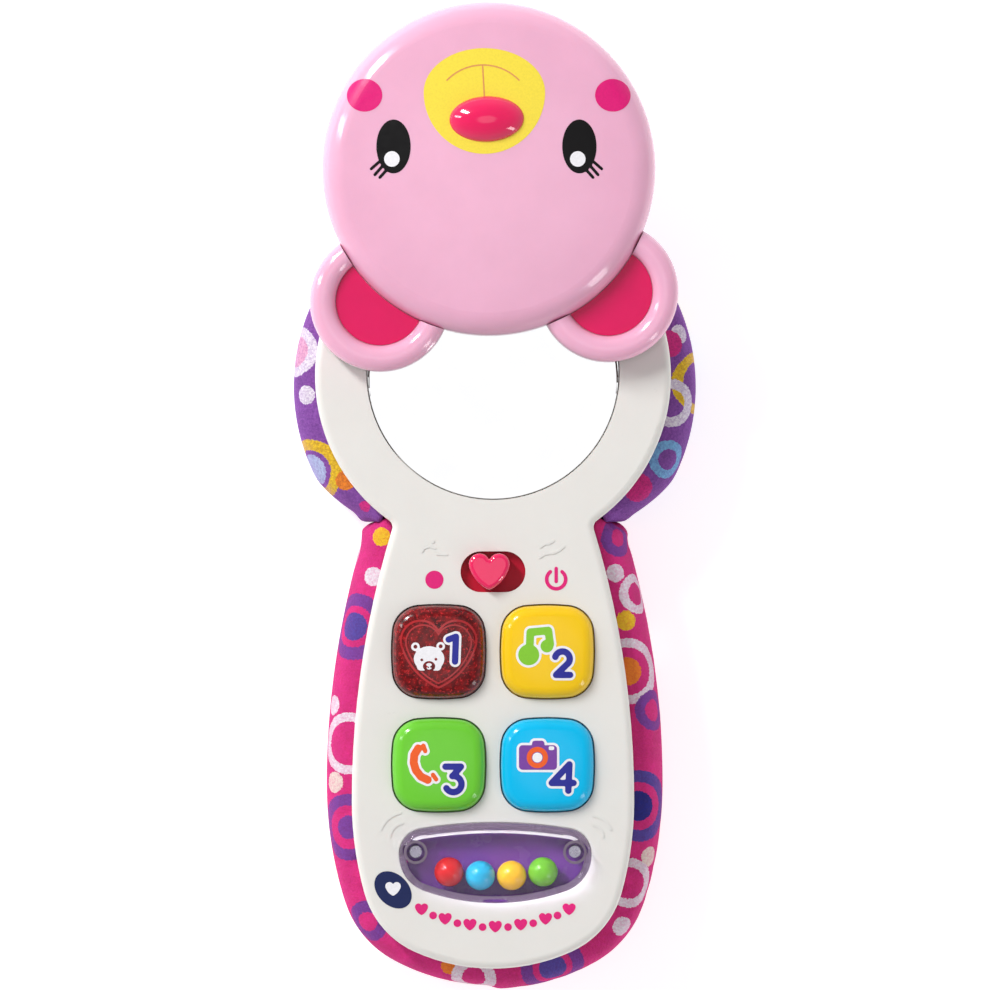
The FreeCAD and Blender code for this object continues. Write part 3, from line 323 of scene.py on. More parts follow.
class Paint:
    """A node material, built step by step around one Principled shader."""

    def __init__(self, name, **settings):
        self.material = bpy.data.materials.new(name)
        self.material.use_nodes = True
        self.nodes = self.material.node_tree.nodes
        self.links = self.material.node_tree.links
        self.shader = self.nodes["Principled BSDF"]
        for socket, value in settings.items():
            self.shader.inputs[socket.replace("_", " ")].default_value = value
        self.place = self.add("ShaderNodeTexCoord").outputs["Object"]

    def add(self, kind, links=None, **values):
        """A node with its sockets set from values and joined from links."""
        node = self.nodes.new(kind)
        for name, value in values.items():
            if name in node.bl_rna.properties:
                setattr(node, name, value)
            else:
                node.inputs[name.replace("_", " ")].default_value = value
        for name, source in (links or {}).items():
            self.links.new(source, node.inputs[name])
        return node

    def noise(self, size, detail=3.0, roughness=0.5, source=None):
        """Noise whose features measure about size millimetres."""
        node = self.add("ShaderNodeTexNoise", {"Vector": source or self.place},
                        Scale=1 / (size * MM), Detail=detail, Roughness=roughness)
        return node.outputs["Fac"]

    def cells(self, size, feature="F1", randomness=1.0, source=None):
        """Cells that measure about size millimetres."""
        return self.add("ShaderNodeTexVoronoi", {"Vector": source or self.place}, feature=feature,
                        Scale=1 / (size * MM), Randomness=randomness)

    def ramp(self, factor, stops, interpolation="LINEAR"):
        """A colour ramp; stops are (place, colour) pairs."""
        node = self.add("ShaderNodeValToRGB", {"Fac": factor})
        node.color_ramp.interpolation = interpolation
        elements = node.color_ramp.elements
        while len(elements) < len(stops):
            elements.new(1.0)
        for element, (place, colour) in zip(elements, stops):
            element.position = place
            element.color = colour if len(colour) == 4 else (*colour, 1.0)
        return node

    def levels(self, factor, low, high, start=0.3, end=0.7):
        """Stretch a factor to a range of values."""
        node = self.add("ShaderNodeMapRange", {"Value": factor}, From_Min=start, From_Max=end,
                        To_Min=low, To_Max=high)
        return node.outputs["Result"]

    def math(self, operation, first, second=0.0):
        node = self.add("ShaderNodeMath", operation=operation)
        for socket, value in zip(node.inputs, (first, second)):
            if isinstance(value, (int, float)):
                socket.default_value = value
            else:
                self.links.new(value, socket)
        return node.outputs[0]

    def mix(self, factor, first, second, blend="MIX"):
        """Mix two colours; each is a colour or a socket."""
        node = self.add("ShaderNodeMix", data_type="RGBA", blend_type=blend)
        for socket, value in ((node.inputs[0], factor), (node.inputs[6], first), (node.inputs[7], second)):
            if isinstance(value, (int, float, tuple)):
                socket.default_value = value
            else:
                self.links.new(value, socket)
        return node.outputs[2]

    def bump(self, height, depth, strength=1.0, under=None):
        """A bump of a depth in millimetres, over an earlier one."""
        node = self.add("ShaderNodeBump", {"Height": height}, Strength=strength, Distance=depth * MM)
        if under:
            self.links.new(under, node.inputs["Normal"])
        return node.outputs["Normal"]

    def join(self, **sockets):
        """Link sources to the shader's sockets."""
        for name, source in sockets.items():
            self.links.new(source, self.shader.inputs[name.replace("_", " ")])
        return self


def moulded(name, colour, roughness=0.22, glow=0.0, coat=0.0, speck=0.03, gloss_index=1.45):
    """Moulded plastic: faint flow marks and specks in the colour, fine grain, rubbed patches of gloss."""
    paint = Paint(name, Coat_Weight=coat, Coat_Roughness=0.04, IOR=gloss_index, Subsurface_Weight=glow,
                  Subsurface_Scale=3 * MM, Subsurface_Radius=(1.0, 0.6, 0.5))
    flow = paint.levels(paint.noise(14, 4, 0.6), 0.0, 1.0)
    body = paint.mix(flow, shade(colour, 1 - speck), shade(colour, 1 + speck))
    specks = paint.cells(0.9).outputs["Distance"]
    dots = paint.levels(specks, 0.25, 0.0, 0.04, 0.10)
    body = paint.mix(dots, body, shade(colour, 0.82))
    gloss = paint.levels(paint.noise(5, 5, 0.65), roughness * 0.8, roughness * 1.25)
    fine = paint.bump(paint.noise(0.25, 2), 0.004)
    wave = paint.bump(paint.noise(9, 1), 0.05, 0.35, under=fine)
    return paint.join(Base_Color=body, Roughness=gloss, Normal=wave).material


def ink(name, colour, coat=0.15):
    """Printed ink: slightly uneven cover and a satin surface."""
    paint = Paint(name, Coat_Weight=coat, Coat_Roughness=0.15, IOR=1.36)
    cover = paint.levels(paint.noise(0.5, 4, 0.7), 0.0, 1.0)
    body = paint.mix(cover, shade(colour, 0.93), shade(colour, 1.05))
    gloss = paint.levels(paint.noise(1.5, 3), 0.28, 0.42)
    relief = paint.bump(paint.noise(0.2, 2), 0.004)
    return paint.join(Base_Color=body, Roughness=gloss, Normal=relief).material


def textured(name, colour, grain=0.5, depth=0.05, roughness=0.5):
    """Spark-eroded plastic, as on the back of a toy: an even fine grain that rubs smooth in patches."""
    paint = Paint(name, IOR=1.5)
    pits = paint.cells(grain).outputs["Distance"]
    worn = paint.noise(12, 4, 0.6)
    body = paint.mix(paint.levels(worn, 0.0, 1.0), shade(colour, 0.95), shade(colour, 1.04))
    gloss = paint.levels(worn, roughness * 0.8, roughness * 1.2)
    relief = paint.bump(paint.noise(grain * 0.4, 3), depth * 0.5, under=paint.bump(pits, depth))
    return paint.join(Base_Color=body, Roughness=gloss, Normal=relief).material


def see_through_red(name):
    """Dark see-through red over a pebbled underside, with painted glints in the colour for its sparkle."""
    paint = Paint(name, IOR=1.3, Coat_Weight=1.0, Coat_Roughness=0.02, Coat_IOR=1.33, Subsurface_Weight=0.1,
                  Subsurface_Scale=2 * MM)
    pebbles = paint.cells(1.25, feature="SMOOTH_F1").outputs["Distance"]
    painted_glint = paint.levels(paint.noise(0.55, 3, 0.7), 0.0, 1.0, 0.56, 0.66)
    depth = paint.levels(paint.noise(6, 2), 0.0, 1.0)
    tone = paint.ramp(pebbles, [(0.15, srgb(136, 8, 14)), (0.45, srgb(88, 3, 8)), (0.8, srgb(52, 1, 5))])
    body = paint.mix(paint.math("MULTIPLY", depth, 0.35), tone.outputs["Color"], srgb(132, 8, 14))
    # painted glints: bright red specks in the colour stand for light that the pebbles catch
    body = paint.mix(paint.math("MULTIPLY", painted_glint, 0.7), body, srgb(226, 44, 48))
    gloss = paint.levels(paint.noise(3, 3), 0.16, 0.30)
    relief = paint.bump(pebbles, 0.25, 0.6)
    return paint.join(Base_Color=body, Roughness=gloss, Normal=relief).material


def clear(name):
    """Clear moulded plastic with a faint lilac tint, flow lines and scratches; lamps shine through it."""
    paint = Paint(name, Transmission_Weight=1.0, IOR=1.30, Coat_Weight=0.0)
    tint = paint.mix(paint.levels(paint.noise(8, 3), 0, 1), srgb(240, 235, 246), srgb(250, 248, 253))
    scratch = paint.add("ShaderNodeTexWave", {"Vector": paint.place}, Scale=240.0, Distortion=9.0, Detail=3.0)
    gloss = paint.levels(scratch.outputs["Fac"], 0.01, 0.04, 0.0, 1.0)
    paint.join(Base_Color=tint, Roughness=gloss, Normal=paint.bump(paint.noise(6, 1), 0.05, 0.3))
    ray = paint.add("ShaderNodeLightPath").outputs["Is Shadow Ray"]
    open_air = paint.add("ShaderNodeBsdfTransparent", Color=srgb(244, 242, 248))
    through = paint.add("ShaderNodeMixShader", {"Fac": ray})
    paint.links.new(paint.shader.outputs["BSDF"], through.inputs[1])
    paint.links.new(open_air.outputs["BSDF"], through.inputs[2])
    paint.links.new(through.outputs["Shader"], paint.nodes["Material Output"].inputs["Surface"])
    return paint.material


def looking_glass(name):
    """Acrylic mirror: nearly plain metal that waves a little."""
    paint = Paint(name, Metallic=1.0, Coat_Weight=0.5, Coat_Roughness=0.01)
    haze = paint.noise(7, 4, 0.6)
    body = paint.mix(paint.levels(haze, 0, 1), srgb(251, 251, 252), srgb(254, 254, 254))
    gloss = paint.levels(haze, 0.02, 0.04)
    wave = paint.bump(paint.noise(24, 1), 0.002, 0.1)
    return paint.join(Base_Color=body, Roughness=gloss, Normal=wave).material


def metal(name, colour, roughness=0.3):
    """Plated steel with turning marks and dull specks."""
    paint = Paint(name, Metallic=1.0)
    marks = paint.add("ShaderNodeTexWave", {"Vector": paint.place}, wave_type="RINGS", Scale=900.0,
                      Distortion=2.0, Detail=2.0)
    dull = paint.noise(1.2, 4, 0.7)
    body = paint.mix(paint.levels(dull, 0, 1), shade(colour, 0.75), colour)
    gloss = paint.levels(dull, roughness * 0.7, roughness * 1.3)
    relief = paint.bump(marks.outputs["Fac"], 0.01, 0.4)
    return paint.join(Base_Color=body, Roughness=gloss, Normal=relief).material


def circuit(name):
    """Green solder mask over tracks, with bright pads."""
    paint = Paint(name)
    tracks = paint.cells(2.4, feature="DISTANCE_TO_EDGE", randomness=0.6).outputs["Distance"]
    lines = paint.levels(tracks, 1.0, 0.0, 0.05, 0.09)
    body = paint.mix(lines, srgb(14, 92, 48), srgb(44, 140, 76))
    pads = paint.levels(paint.cells(3.1).outputs["Distance"], 1.0, 0.0, 0.10, 0.13)
    body = paint.mix(pads, body, srgb(206, 200, 180))
    gloss = paint.levels(tracks, 0.25, 0.4)
    return paint.join(Base_Color=body, Roughness=gloss, Normal=paint.bump(lines, 0.04)).material


def cell_sleeve(name):
    """Plain battery sleeve: a dark band and a copper band."""
    paint = Paint(name, Metallic=0.55)
    along = paint.add("ShaderNodeSeparateXYZ", {"Vector": paint.place}).outputs["Y"]
    low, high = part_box("battery_cell_1")
    share = paint.levels(along, 0.0, 1.0, low.y, high.y)
    band = paint.ramp(share, [(0.0, srgb(176, 110, 66)), (0.28, srgb(34, 38, 46))], "CONSTANT")
    scuff = paint.levels(paint.noise(2, 5, 0.7), 0.0, 0.35)
    body = paint.mix(scuff, band.outputs["Color"], srgb(96, 98, 104))
    gloss = paint.levels(paint.noise(3, 3), 0.25, 0.45)
    relief = paint.bump(paint.noise(0.6, 3), 0.01)
    return paint.join(Base_Color=body, Roughness=gloss, Normal=relief).material


def velour(name, colour, dark, prints, strewn):
    """Printed velour: short pile that shades by tufts, rings and dots printed on it, soft sheen."""
    paint = Paint(name, Sheen_Weight=0.55, Sheen_Roughness=0.35, Sheen_Tint=shade(colour, 1.6))
    spot = fuzzy_place(paint, reach=0.8)
    tufts = paint.noise(0.55, 4, 0.75)
    naps = paint.noise(7, 4, 0.6)
    body = paint.mix(paint.levels(naps, 0, 1), shade(colour, 0.86), shade(colour, 1.10))
    body = scattered_rings(paint, spot, body, strewn)
    for centre, stops in prints:
        body = one_ring(paint, spot, body, centre, stops)
    body = paint.mix(paint.levels(tufts, 0.8, 0.0, 0.36, 0.62), body, dark, "MULTIPLY")
    pile = paint.bump(paint.noise(0.4, 3, 0.7), 0.35, 0.9)
    relief = paint.bump(naps, 0.35, 0.5, under=pile)
    gloss = paint.levels(tufts, 0.75, 0.95)
    return paint.join(Base_Color=body, Roughness=gloss, Normal=relief).material


def fuzzy_place(paint, reach):
    """The place on the fabric, moved about by up to half of reach, so that printed edges fray in the pile."""
    wobble = paint.add("ShaderNodeTexNoise", {"Vector": paint.place}, Scale=2600.0, Detail=3.0)
    shift = paint.add("ShaderNodeVectorMath", {0: wobble.outputs["Color"]}, operation="SUBTRACT")
    shift.inputs[1].default_value = (0.5, 0.5, 0.5)
    scaled = paint.add("ShaderNodeVectorMath", {0: shift.outputs[0]}, operation="SCALE", Scale=reach * MM)
    moved = paint.add("ShaderNodeVectorMath", {0: paint.place, 1: scaled.outputs[0]}, operation="ADD")
    return moved.outputs[0]


def one_ring(paint, spot, body, centre, stops):
    """Print one dot or ring; stops are (outer radius, colour) pairs from the middle outwards."""
    away = paint.add("ShaderNodeVectorMath", {0: spot}, operation="DISTANCE")
    away.inputs[1].default_value = Vector(centre) * MM
    nothing = (0.0, 0.0, 0.0, 0.0)
    span = 2 * stops[-1][0]
    share = paint.math("DIVIDE", away.outputs["Value"], span * MM)
    pairs = []
    start = 0.0
    for radius, colour in stops:
        pairs.append((start, colour or nothing))
        start = radius / span
    pairs.append((start, nothing))
    colours = paint.ramp(share, pairs, "CONSTANT")
    return paint.mix(colours.outputs["Alpha"], body, colours.outputs["Color"])


def scattered_rings(paint, spot, body, colours, size=13, top=9.5, fade=1.0):
    """Rings of several colours strewn over the low sides and the back, where nothing is placed one by one."""
    dot, ring_in, ring_out = 0.13, 0.20, 0.30  # radii as shares of the pattern's size
    shown, hidden = (1, 1, 1), (0, 0, 0)
    cells = paint.cells(size, randomness=0.75, source=spot)
    pick = paint.add("ShaderNodeSeparateColor", {"Color": cells.outputs["Color"]})
    stops = [(i / len(colours), colour) for i, colour in enumerate(colours)]
    tone = paint.ramp(pick.outputs[0], stops, "CONSTANT").outputs["Color"]
    rings = [(0.0, shown), (dot, hidden), (ring_in, shown), (ring_out, hidden)]
    band = paint.ramp(cells.outputs["Distance"], rings, "CONSTANT").outputs["Color"]
    height = paint.add("ShaderNodeSeparateXYZ", {"Vector": paint.place}).outputs["Z"]
    below = paint.levels(height, 1.0, 0.0, top * MM, (top + fade) * MM)
    return paint.mix(paint.math("MULTIPLY", band, below), body, tone)


# ---------------------------------------------------------------- padded covers

HEAD_PRINTS = [
    # x, y, then radius and colour from the middle outwards
    (-43.1, 31.6, [(3.4, PINK), (5.6, WHITE)]),
    (-41.3, 22.1, [(2.1, WHITE)]),
    (-39.4, 5.6, [(3.6, PALE_BLUE), (4.6, None), (7.0, YELLOW)]),
    (-32.6, 3.2, [(2.2, ORANGE)]),
    (-28.3, -2.6, [(1.3, HOT_PINK)]),
    (41.3, 35.6, [(2.1, WHITE)]),
    (38.8, 33.4, [(3.0, HOT_PINK)]),
    (44.6, 24.7, [(4.6, None), (6.8, YELLOW)]),
    (39.2, 20.3, [(3.1, None), (5.3, WHITE)]),
    (38.7, 7.8, [(2.3, None), (4.3, SKY)]),
    (32.0, 1.6, [(3.2, HOT_PINK)]),
    (0.0, 67.5, [(2.6, None), (4.6, WHITE)]),
    (-18.0, 65.0, [(2.2, LAVENDER), (4.2, YELLOW)]),
    (17.0, 65.2, [(2.0, WHITE)]),
    (30.0, 57.5, [(2.4, None), (4.2, HOT_PINK)]),
    (-31.5, 55.5, [(1.9, SKY)]),
]
HANDLE_PRINTS = [
    (-24.7, -9.2, [(2.1, YELLOW)]),
    (-30.1, -12.0, [(2.4, None), (4.7, WHITE)]),
    (-26.4, -18.0, [(2.1, WHITE)]),
    (-30.8, -29.0, [(3.1, INDIGO), (4.6, None), (7.4, VIOLET)]),
    (-35.2, -46.4, [(2.2, WHITE)]),
    (-31.8, -54.8, [(4.8, None), (6.8, WHITE)]),
    (-35.0, -63.4, [(2.3, CREAM)]),
    (-31.8, -73.3, [(2.6, VIOLET), (4.8, None), (7.4, VIOLET)]),
    (-35.2, -82.9, [(2.6, None), (4.4, YELLOW)]),
    (-27.7, -94.2, [(2.2, None), (4.7, VIOLET)]),
    (-9.6, -104.0, [(1.9, ORANGE)]),
    (-4.3, -106.7, [(2.6, None), (5.0, WHITE)]),
    (13.2, -104.4, [(3.0, INDIGO), (4.4, None), (7.1, VIOLET)]),
    (27.7, -9.4, [(2.0, None), (4.2, VIOLET)]),
    (27.0, -17.2, [(2.0, WHITE)]),
    (31.6, -21.8, [(2.6, None), (4.5, WHITE)]),
    (29.3, -27.7, [(2.2, YELLOW)]),
    (29.6, -38.9, [(3.1, ORANGE), (5.3, None), (7.3, WHITE)]),
    (35.4, -47.5, [(2.4, None), (4.5, VIOLET)]),
    (32.0, -68.6, [(3.3, NAVY), (5.3, None), (7.9, INDIGO)]),
    (34.6, -79.8, [(2.2, CREAM)]),
    (30.0, -85.6, [(3.5, None), (5.5, WHITE)]),
    (28.6, -95.3, [(2.2, WHITE)]),
]


def placed_prints(piece, prints):
    """Find each print's place on the fabric, from above or, beyond its edge, from the side."""
    tree = BVHTree.FromObject(piece, bpy.context.evaluated_depsgraph_get())
    placed = []
    side_height = 14
    for x, y, stops in prints:
        hit = tree.ray_cast(Vector((x, y, ABOVE)) * MM, DOWN)[0]
        if hit is None:
            hit = tree.find_nearest(Vector((x, y, side_height)) * MM)[0]
        placed.append((tuple(hit / MM), stops))
    return placed


def hard_parts():
    """The hard casing that the fabric is stretched over."""
    points, faces = [], []
    for node in ("front_plate", "rear_shell"):
        mesh = NODES[node].data
        start = len(points)
        points += [v.co for v in mesh.vertices]
        faces += [[start + i for i in p.vertices] for p in mesh.polygons]
    return BVHTree.FromPolygons(points, faces)


def draw_in_seam(piece, depth, reach, hard_x=23.5, run=7.5, snap=0.9, curve=1.6):
    """Draw the fabric in along the seam between the two covers, where the thread pulls it tight.

    The depth holds from hard_x + run outwards, and nothing moves inside hard_x, beside the hard casing."""
    for vertex in piece.data.vertices:
        away = abs(vertex.co.y / MM - SEAM_Y)
        if away < snap:
            vertex.co.y = SEAM_Y * MM
        inset = depth * max(0.0, 1 - away / reach) ** curve
        outwards = min(1.0, max(0.0, (abs(vertex.co.x) / MM - hard_x) / run))
        vertex.co.x -= math.copysign(inset * outwards * MM, vertex.co.x)


def smooth_edge(piece, casing, band=4.0, lowest=12, seam_band=2.5, rounds=8):
    """Even out the fabric where it comes up to the hard casing, away from the seam."""
    mesh = bmesh.new()
    mesh.from_mesh(piece.data)
    edge = [v for v in mesh.verts if v.co.z > lowest * MM and casing.find_nearest(v.co)[3] < band * MM
            and abs(v.co.y / MM - SEAM_Y) > seam_band]
    for _ in range(rounds):
        bmesh.ops.smooth_vert(mesh, verts=edge, factor=0.5, use_axis_x=True, use_axis_y=True, use_axis_z=True)
    mesh.to_mesh(piece.data)
    mesh.free()


def press_on(piece, casing, reach=2.0, overlap=0.35, lowest=2):
    """Lay the fabric against the hard casing, and a little into it, wherever it lies close to it."""
    for vertex in piece.data.vertices:
        place, normal, _, gap = casing.find_nearest(vertex.co)
        if gap < reach * MM and vertex.co.z > lowest * MM:
            vertex.co = place - normal * overlap * MM


def hold_and_fill(piece, casing, fullness, casing_band=1.3, seam_band=1.2, resting=0.9):
    """Hold the fabric at the casing, seam and floor; elsewhere fill it out by a left and a right amount."""
    held = piece.vertex_groups.new(name="held")
    for vertex in piece.data.vertices:
        gap = casing.find_nearest(vertex.co)[3] / MM
        seam_gap = abs(vertex.co.y / MM - SEAM_Y)
        fixed = gap < casing_band or seam_gap < seam_band or vertex.co.z / MM < resting
        held.add([vertex.index], float(fixed), "REPLACE")
        if not fixed:
            vertex.co += vertex.normal * fullness[vertex.co.x > 0] * MM


def padded_cover(name, node, seam, fullness, voxel=1.5):
    """Fabric over padding: the CAD pad remeshed, filled out, then blown up as cloth where it is free."""
    piece = bpy.data.objects.new(name, NODES[node].data.copy())
    bpy.context.scene.collection.objects.link(piece)
    bpy.context.view_layer.objects.active = piece
    remesh = piece.modifiers.new("remesh", "REMESH")
    remesh.mode = "VOXEL"
    remesh.voxel_size = voxel * MM
    remesh.use_smooth_shade = True
    apply_modifier(piece, "remesh")
    casing = hard_parts()
    hold_and_fill(piece, casing, fullness)
    blow_up(piece)
    smooth_edge(piece, casing)
    press_on(piece, casing)
    draw_in_seam(piece, *seam)
    for vertex in piece.data.vertices:
        vertex.co.z = max(vertex.co.z, 0.0)
    smooth = piece.modifiers.new("smooth", "SUBSURF")
    smooth.levels = 1
    smooth.render_levels = 1
    apply_modifier(piece, "smooth")
    for face in piece.data.polygons:
        face.use_smooth = True
    return piece


def apply_modifier(piece, name):
    """Keep a modifier's result as the piece's own mesh."""
    evaluated = piece.evaluated_get(bpy.context.evaluated_depsgraph_get())
    result = bpy.data.meshes.new_from_object(evaluated)
    piece.modifiers.remove(piece.modifiers[name])
    piece.data = result


def blow_up(piece, swell=1.5, frames=20):
    """Cloth under pressure from inside, without weight; no point moves further than swell."""
    before = [v.co.copy() for v in piece.data.vertices]
    cloth = piece.modifiers.new("cloth", "CLOTH")
    settings = cloth.settings
    settings.vertex_group_mass = "held"
    settings.use_pressure = True
    settings.uniform_pressure_force = 4.0
    settings.effector_weights.gravity = 0.0
    settings.quality = 6
    settings.tension_stiffness = 12.0
    settings.compression_stiffness = 6.0
    settings.bending_stiffness = 0.4
    scene = bpy.context.scene
    for number in range(1, frames + 1):
        scene.frame_set(number)
    apply_modifier(piece, "cloth")
    scene.frame_set(1)
    for vertex, old in zip(piece.data.vertices, before):
        move = vertex.co - old
        if move.length > swell * MM:
            vertex.co = old + move.normalized() * swell * MM


# ---------------------------------------------------------------- prints of each part

def numeral(number):
    """The strokes of a numeral beside a button's icon, about the button's centre."""
    pen = 0.70
    if number == 1:
        return line([(2.2, 2.75), (3.8, 3.35), (3.6, -2.1)], pen)
    if number == 2:
        foot = line([(4.6, -2.45), (1.9, -5.05), (5.0, -5.05)], pen)
        return join(bow(3.3, -1.5, 1.62, 165, -35, pen), foot)
    if number == 3:
        top = line([(1.5, -0.3), (4.9, -0.3), (3.05, -2.4)], pen)
        return join(top, bow(3.25, -4.15, 1.78, 98, -150, pen))
    return line([(4.6, -5.6), (4.85, 0.2), (0.95, -3.9), (5.75, -3.9)], pen)


def bear_icon():
    """Bear's head with eyes, inner ears and muzzle left open, and a nose and mouth in the muzzle."""
    head = join(oval(-2.1, -1.5, 3.35, 2.75), slab(-2.1, -3.1, 2.7, 1.0, 0.9))
    ears = join(disc(-5.1, 1.15, 0.95), disc(0.45, 1.25, 0.95))
    inner_ears = join(disc(-5.1, 1.15, 0.45), disc(0.45, 1.25, 0.45))
    eyes = join(disc(-3.7, -1.75, 0.33), disc(-0.6, -1.6, 0.33))
    muzzle = oval(-2.1, -3.15, 1.35, 1.15)
    nose = join(oval(-2.1, -2.8, 0.62, 0.36), line([(-2.1, -2.9), (-2.1, -3.5)], 0.12),
                bow(-2.1, -3.2, 0.55, 200, 340, 0.12))
    return join(without(join(head, ears), inner_ears, eyes, muzzle), nose)


def note_icon():
    """Two beamed notes."""
    stems = line([(-3.9, 0.6), (-3.75, 4.35), (0.2, 4.7), (0.62, 1.7)], 0.85)
    return join(disc(-4.1, -0.62, 2.3), disc(-0.1, 1.3, 1.4), stems)


def handset_icon():
    """A telephone handset: a bent grip, and a thin ear piece and mouth piece beside its ends."""
    grip = line([(-4.5, 3.7), (-5.35, 2.3), (-5.5, 0.6), (-5.0, -1.1), (-3.9, -2.5), (-2.4, -3.2)], 0.88)
    ear_piece = line([(-3.35, 4.3), (-2.95, 3.1)], 0.48)
    mouth_piece = line([(-1.25, -2.1), (-0.55, -3.1)], 0.48)
    return join(grip, ear_piece, mouth_piece)


def camera_icon():
    """A camera's body with its finder hump."""
    return join(slab(-2.07, 1.7, 4.17, 2.7, 0.8), slab(-2.0, 4.4, 1.35, 1.0, 0.6))


def button_prints(inks):
    """Icons, numerals and their white borders on the four buttons."""
    border = 0.52
    icons = [
        (bear_icon(), "print_white", False),
        (note_icon(), "print_green", True),
        (handset_icon(), "print_orange", True),
        (camera_icon(), "print_purple", True),
    ]
    for number, (icon, slot, bordered) in enumerate(icons, start=1):
        lay = button_layer(f"button_{number}", inks)
        whole = join(numeral(number), icon) if bordered else numeral(number)
        lay("border", grown(whole, border), "print_white", 0.03)
        lay("icon_0", without(icon, grown(numeral(number), border)) if bordered else icon, slot, 0.06)
        lay("numeral", numeral(number), "print_navy", 0.07)
        if slot == "print_purple":
            camera_details(lay)


def button_layer(node, paints, reach=9):
    """A function that lays one print, drawn about the button's centre, on a button."""
    centre = middle(node)
    top = Surface(node)

    def lay(name, field, slot, lift):
        lay_print(f"{node}_{name}", lambda u, v: field(u - centre.x, v - centre.y),
                  *box_about(centre.x, centre.y, reach), top, node, paints[slot], slot, lift=lift)
    return lay


def camera_details(lay):
    """Lens rings and flash window of the camera on the blue button."""
    lens_x, lens_y = -2.2, 1.7
    details = [
        (without(disc(lens_x, lens_y, 2.35), disc(lens_x, lens_y, 1.25)), "print_orange"),
        (disc(lens_x, lens_y, 1.1), "print_white"),
        (slab(0.9, 3.75, 0.6, 0.42, 0.15), "print_white"),
    ]
    for index, (field, slot) in enumerate(details):
        lay(f"detail_{index}", field, slot, 0.09)


def button_heart(materials):
    """Two raised heart outlines in the red button, one inside the other, left out under the icon."""
    lay = button_layer("button_1", {"button_red": materials["red_lines"]}, reach=9.6)
    icon = grown(join(bear_icon(), grown(numeral(1), 0.5)), 0.15)
    for index, (size, width) in enumerate(((8.3, 0.24), (7.2, 0.18))):
        lay(f"moulded_heart_{index}", without(ring(heart(0.0, -0.5, size), width), icon), "button_red", 0.10)


def face_prints(inks):
    """Muzzle, mouth, eyes, lashes and cheeks on the bear's face."""
    top = Surface("lid_face")

    def lay(name, field, slot, lift, step, box):
        lay_print(name, field, *box, top, "cover", inks[slot], slot, lift=lift, step=step)

    muzzle_x, muzzle_y = FACE.x - 0.95, FACE.y + 16.5
    whole_face = box_about(FACE.x, FACE.y, 37.0)
    lay("muzzle", egg(muzzle_x, muzzle_y, 13.3, 9.7, 13.5), "print_yellow", 0.04, 0.4, whole_face)
    lip_reach, lip_y, lip_pen = 11.0, muzzle_y + 6.0, 0.16
    lips = bow(muzzle_x - 0.3, lip_y - lip_reach, lip_reach, 136, 44, lip_pen)
    groove = line([(muzzle_x - 0.4, lip_y), (muzzle_x, lip_y - 6.9)], lip_pen)
    lay_print("mouth", join(lips, groove), (muzzle_x - 9, lip_y - 8), (muzzle_x + 9, lip_y + 1), top, "cover",
              inks["mouth"], "print_orange", lift=0.07, step=0.2)
    lash_ends = [((2.6, -2.9), (4.9, -4.9)), ((2.0, -3.8), (4.1, -6.2)), ((1.2, -4.8), (3.0, -6.8))]
    for side, name in ((-1, "left"), (1, "right")):
        eye_x, eye_y = FACE.x - 0.5 + side * 20.35, FACE.y + 4.65
        eye_box = box_about(eye_x, eye_y, 9)
        lashes = [line([(eye_x + side * x, eye_y + y) for x, y in ends], 0.32) for ends in lash_ends]
        lay(f"eye_{name}", join(oval(eye_x, eye_y, 3.75, 5.9), *lashes), "print_black", 0.05, 0.25, eye_box)
        lay(f"eye_{name}_spark", disc(eye_x - 0.35, eye_y - 2.75, 1.7), "print_white", 0.09, 0.2, eye_box)
        cheek_x, cheek_y = FACE.x + side * 27.2, FACE.y + 15.9
        lay(f"cheek_{name}", oval(cheek_x, cheek_y, 3.9, 3.6), "print_magenta", 0.05, 0.3,
            box_about(cheek_x, cheek_y, 5))


def plate_prints(inks):
    """Signs beside the heart switch, the badge, and the row of marks under the bead window."""
    top = Surface("front_plate")
    slot = middle("slide_plate")

    def lay(name, field, box, ink_slot, lift=0.05, step=0.2):
        lay_print(name, field, *box, top, "phone", inks[ink_slot], ink_slot, lift=lift, step=step)

    dot_x, dot_y = slot.x - 12.1, slot.y - 1.75
    lay("off_dot", disc(dot_x, dot_y, 2.0), box_about(dot_x, dot_y, 3), "print_magenta")
    sign_x, sign_y = slot.x + 14.7, slot.y - 1.65
    sign_box = (sign_x - 3, sign_y - 3), (sign_x + 3, sign_y + 3.4)
    stem = line([(sign_x, sign_y + 2.4), (sign_x, sign_y - 0.5)], 0.38)
    lay("power_sign", join(bow(sign_x, sign_y, 2.1, 128, 412, 0.40), stem), sign_box, "print_magenta")

    badge_x, badge_y = -22.0, -86.9
    badge_box = box_about(badge_x, badge_y, 5)
    lay_print("badge", oval(badge_x, badge_y, 4.7, 3.4, math.radians(-45)), *badge_box, top, "phone",
              inks["badge_navy"], "print_navy", lift=0.06, step=0.2)
    lay("badge_heart", heart(badge_x, badge_y + 0.2, 1.7), badge_box, "print_white", 0.10, 0.15)

    window = middle("bead_window")
    row_reach, row_y = 36.4, window.y + 22.1
    count, spread = 13, 26.5
    for index in range(count):
        angle = math.radians(-90 + spread * (2 * index / (count - 1) - 1))
        x, y = window.x + row_reach * math.cos(angle), row_y + row_reach * math.sin(angle)
        shape = disc(x, y, 0.85) if index % 2 else heart(x, y + 0.2, 1.45)
        lay(f"row_mark_{index}", shape, box_about(x, y, 2), "print_magenta", 0.05, 0.15)


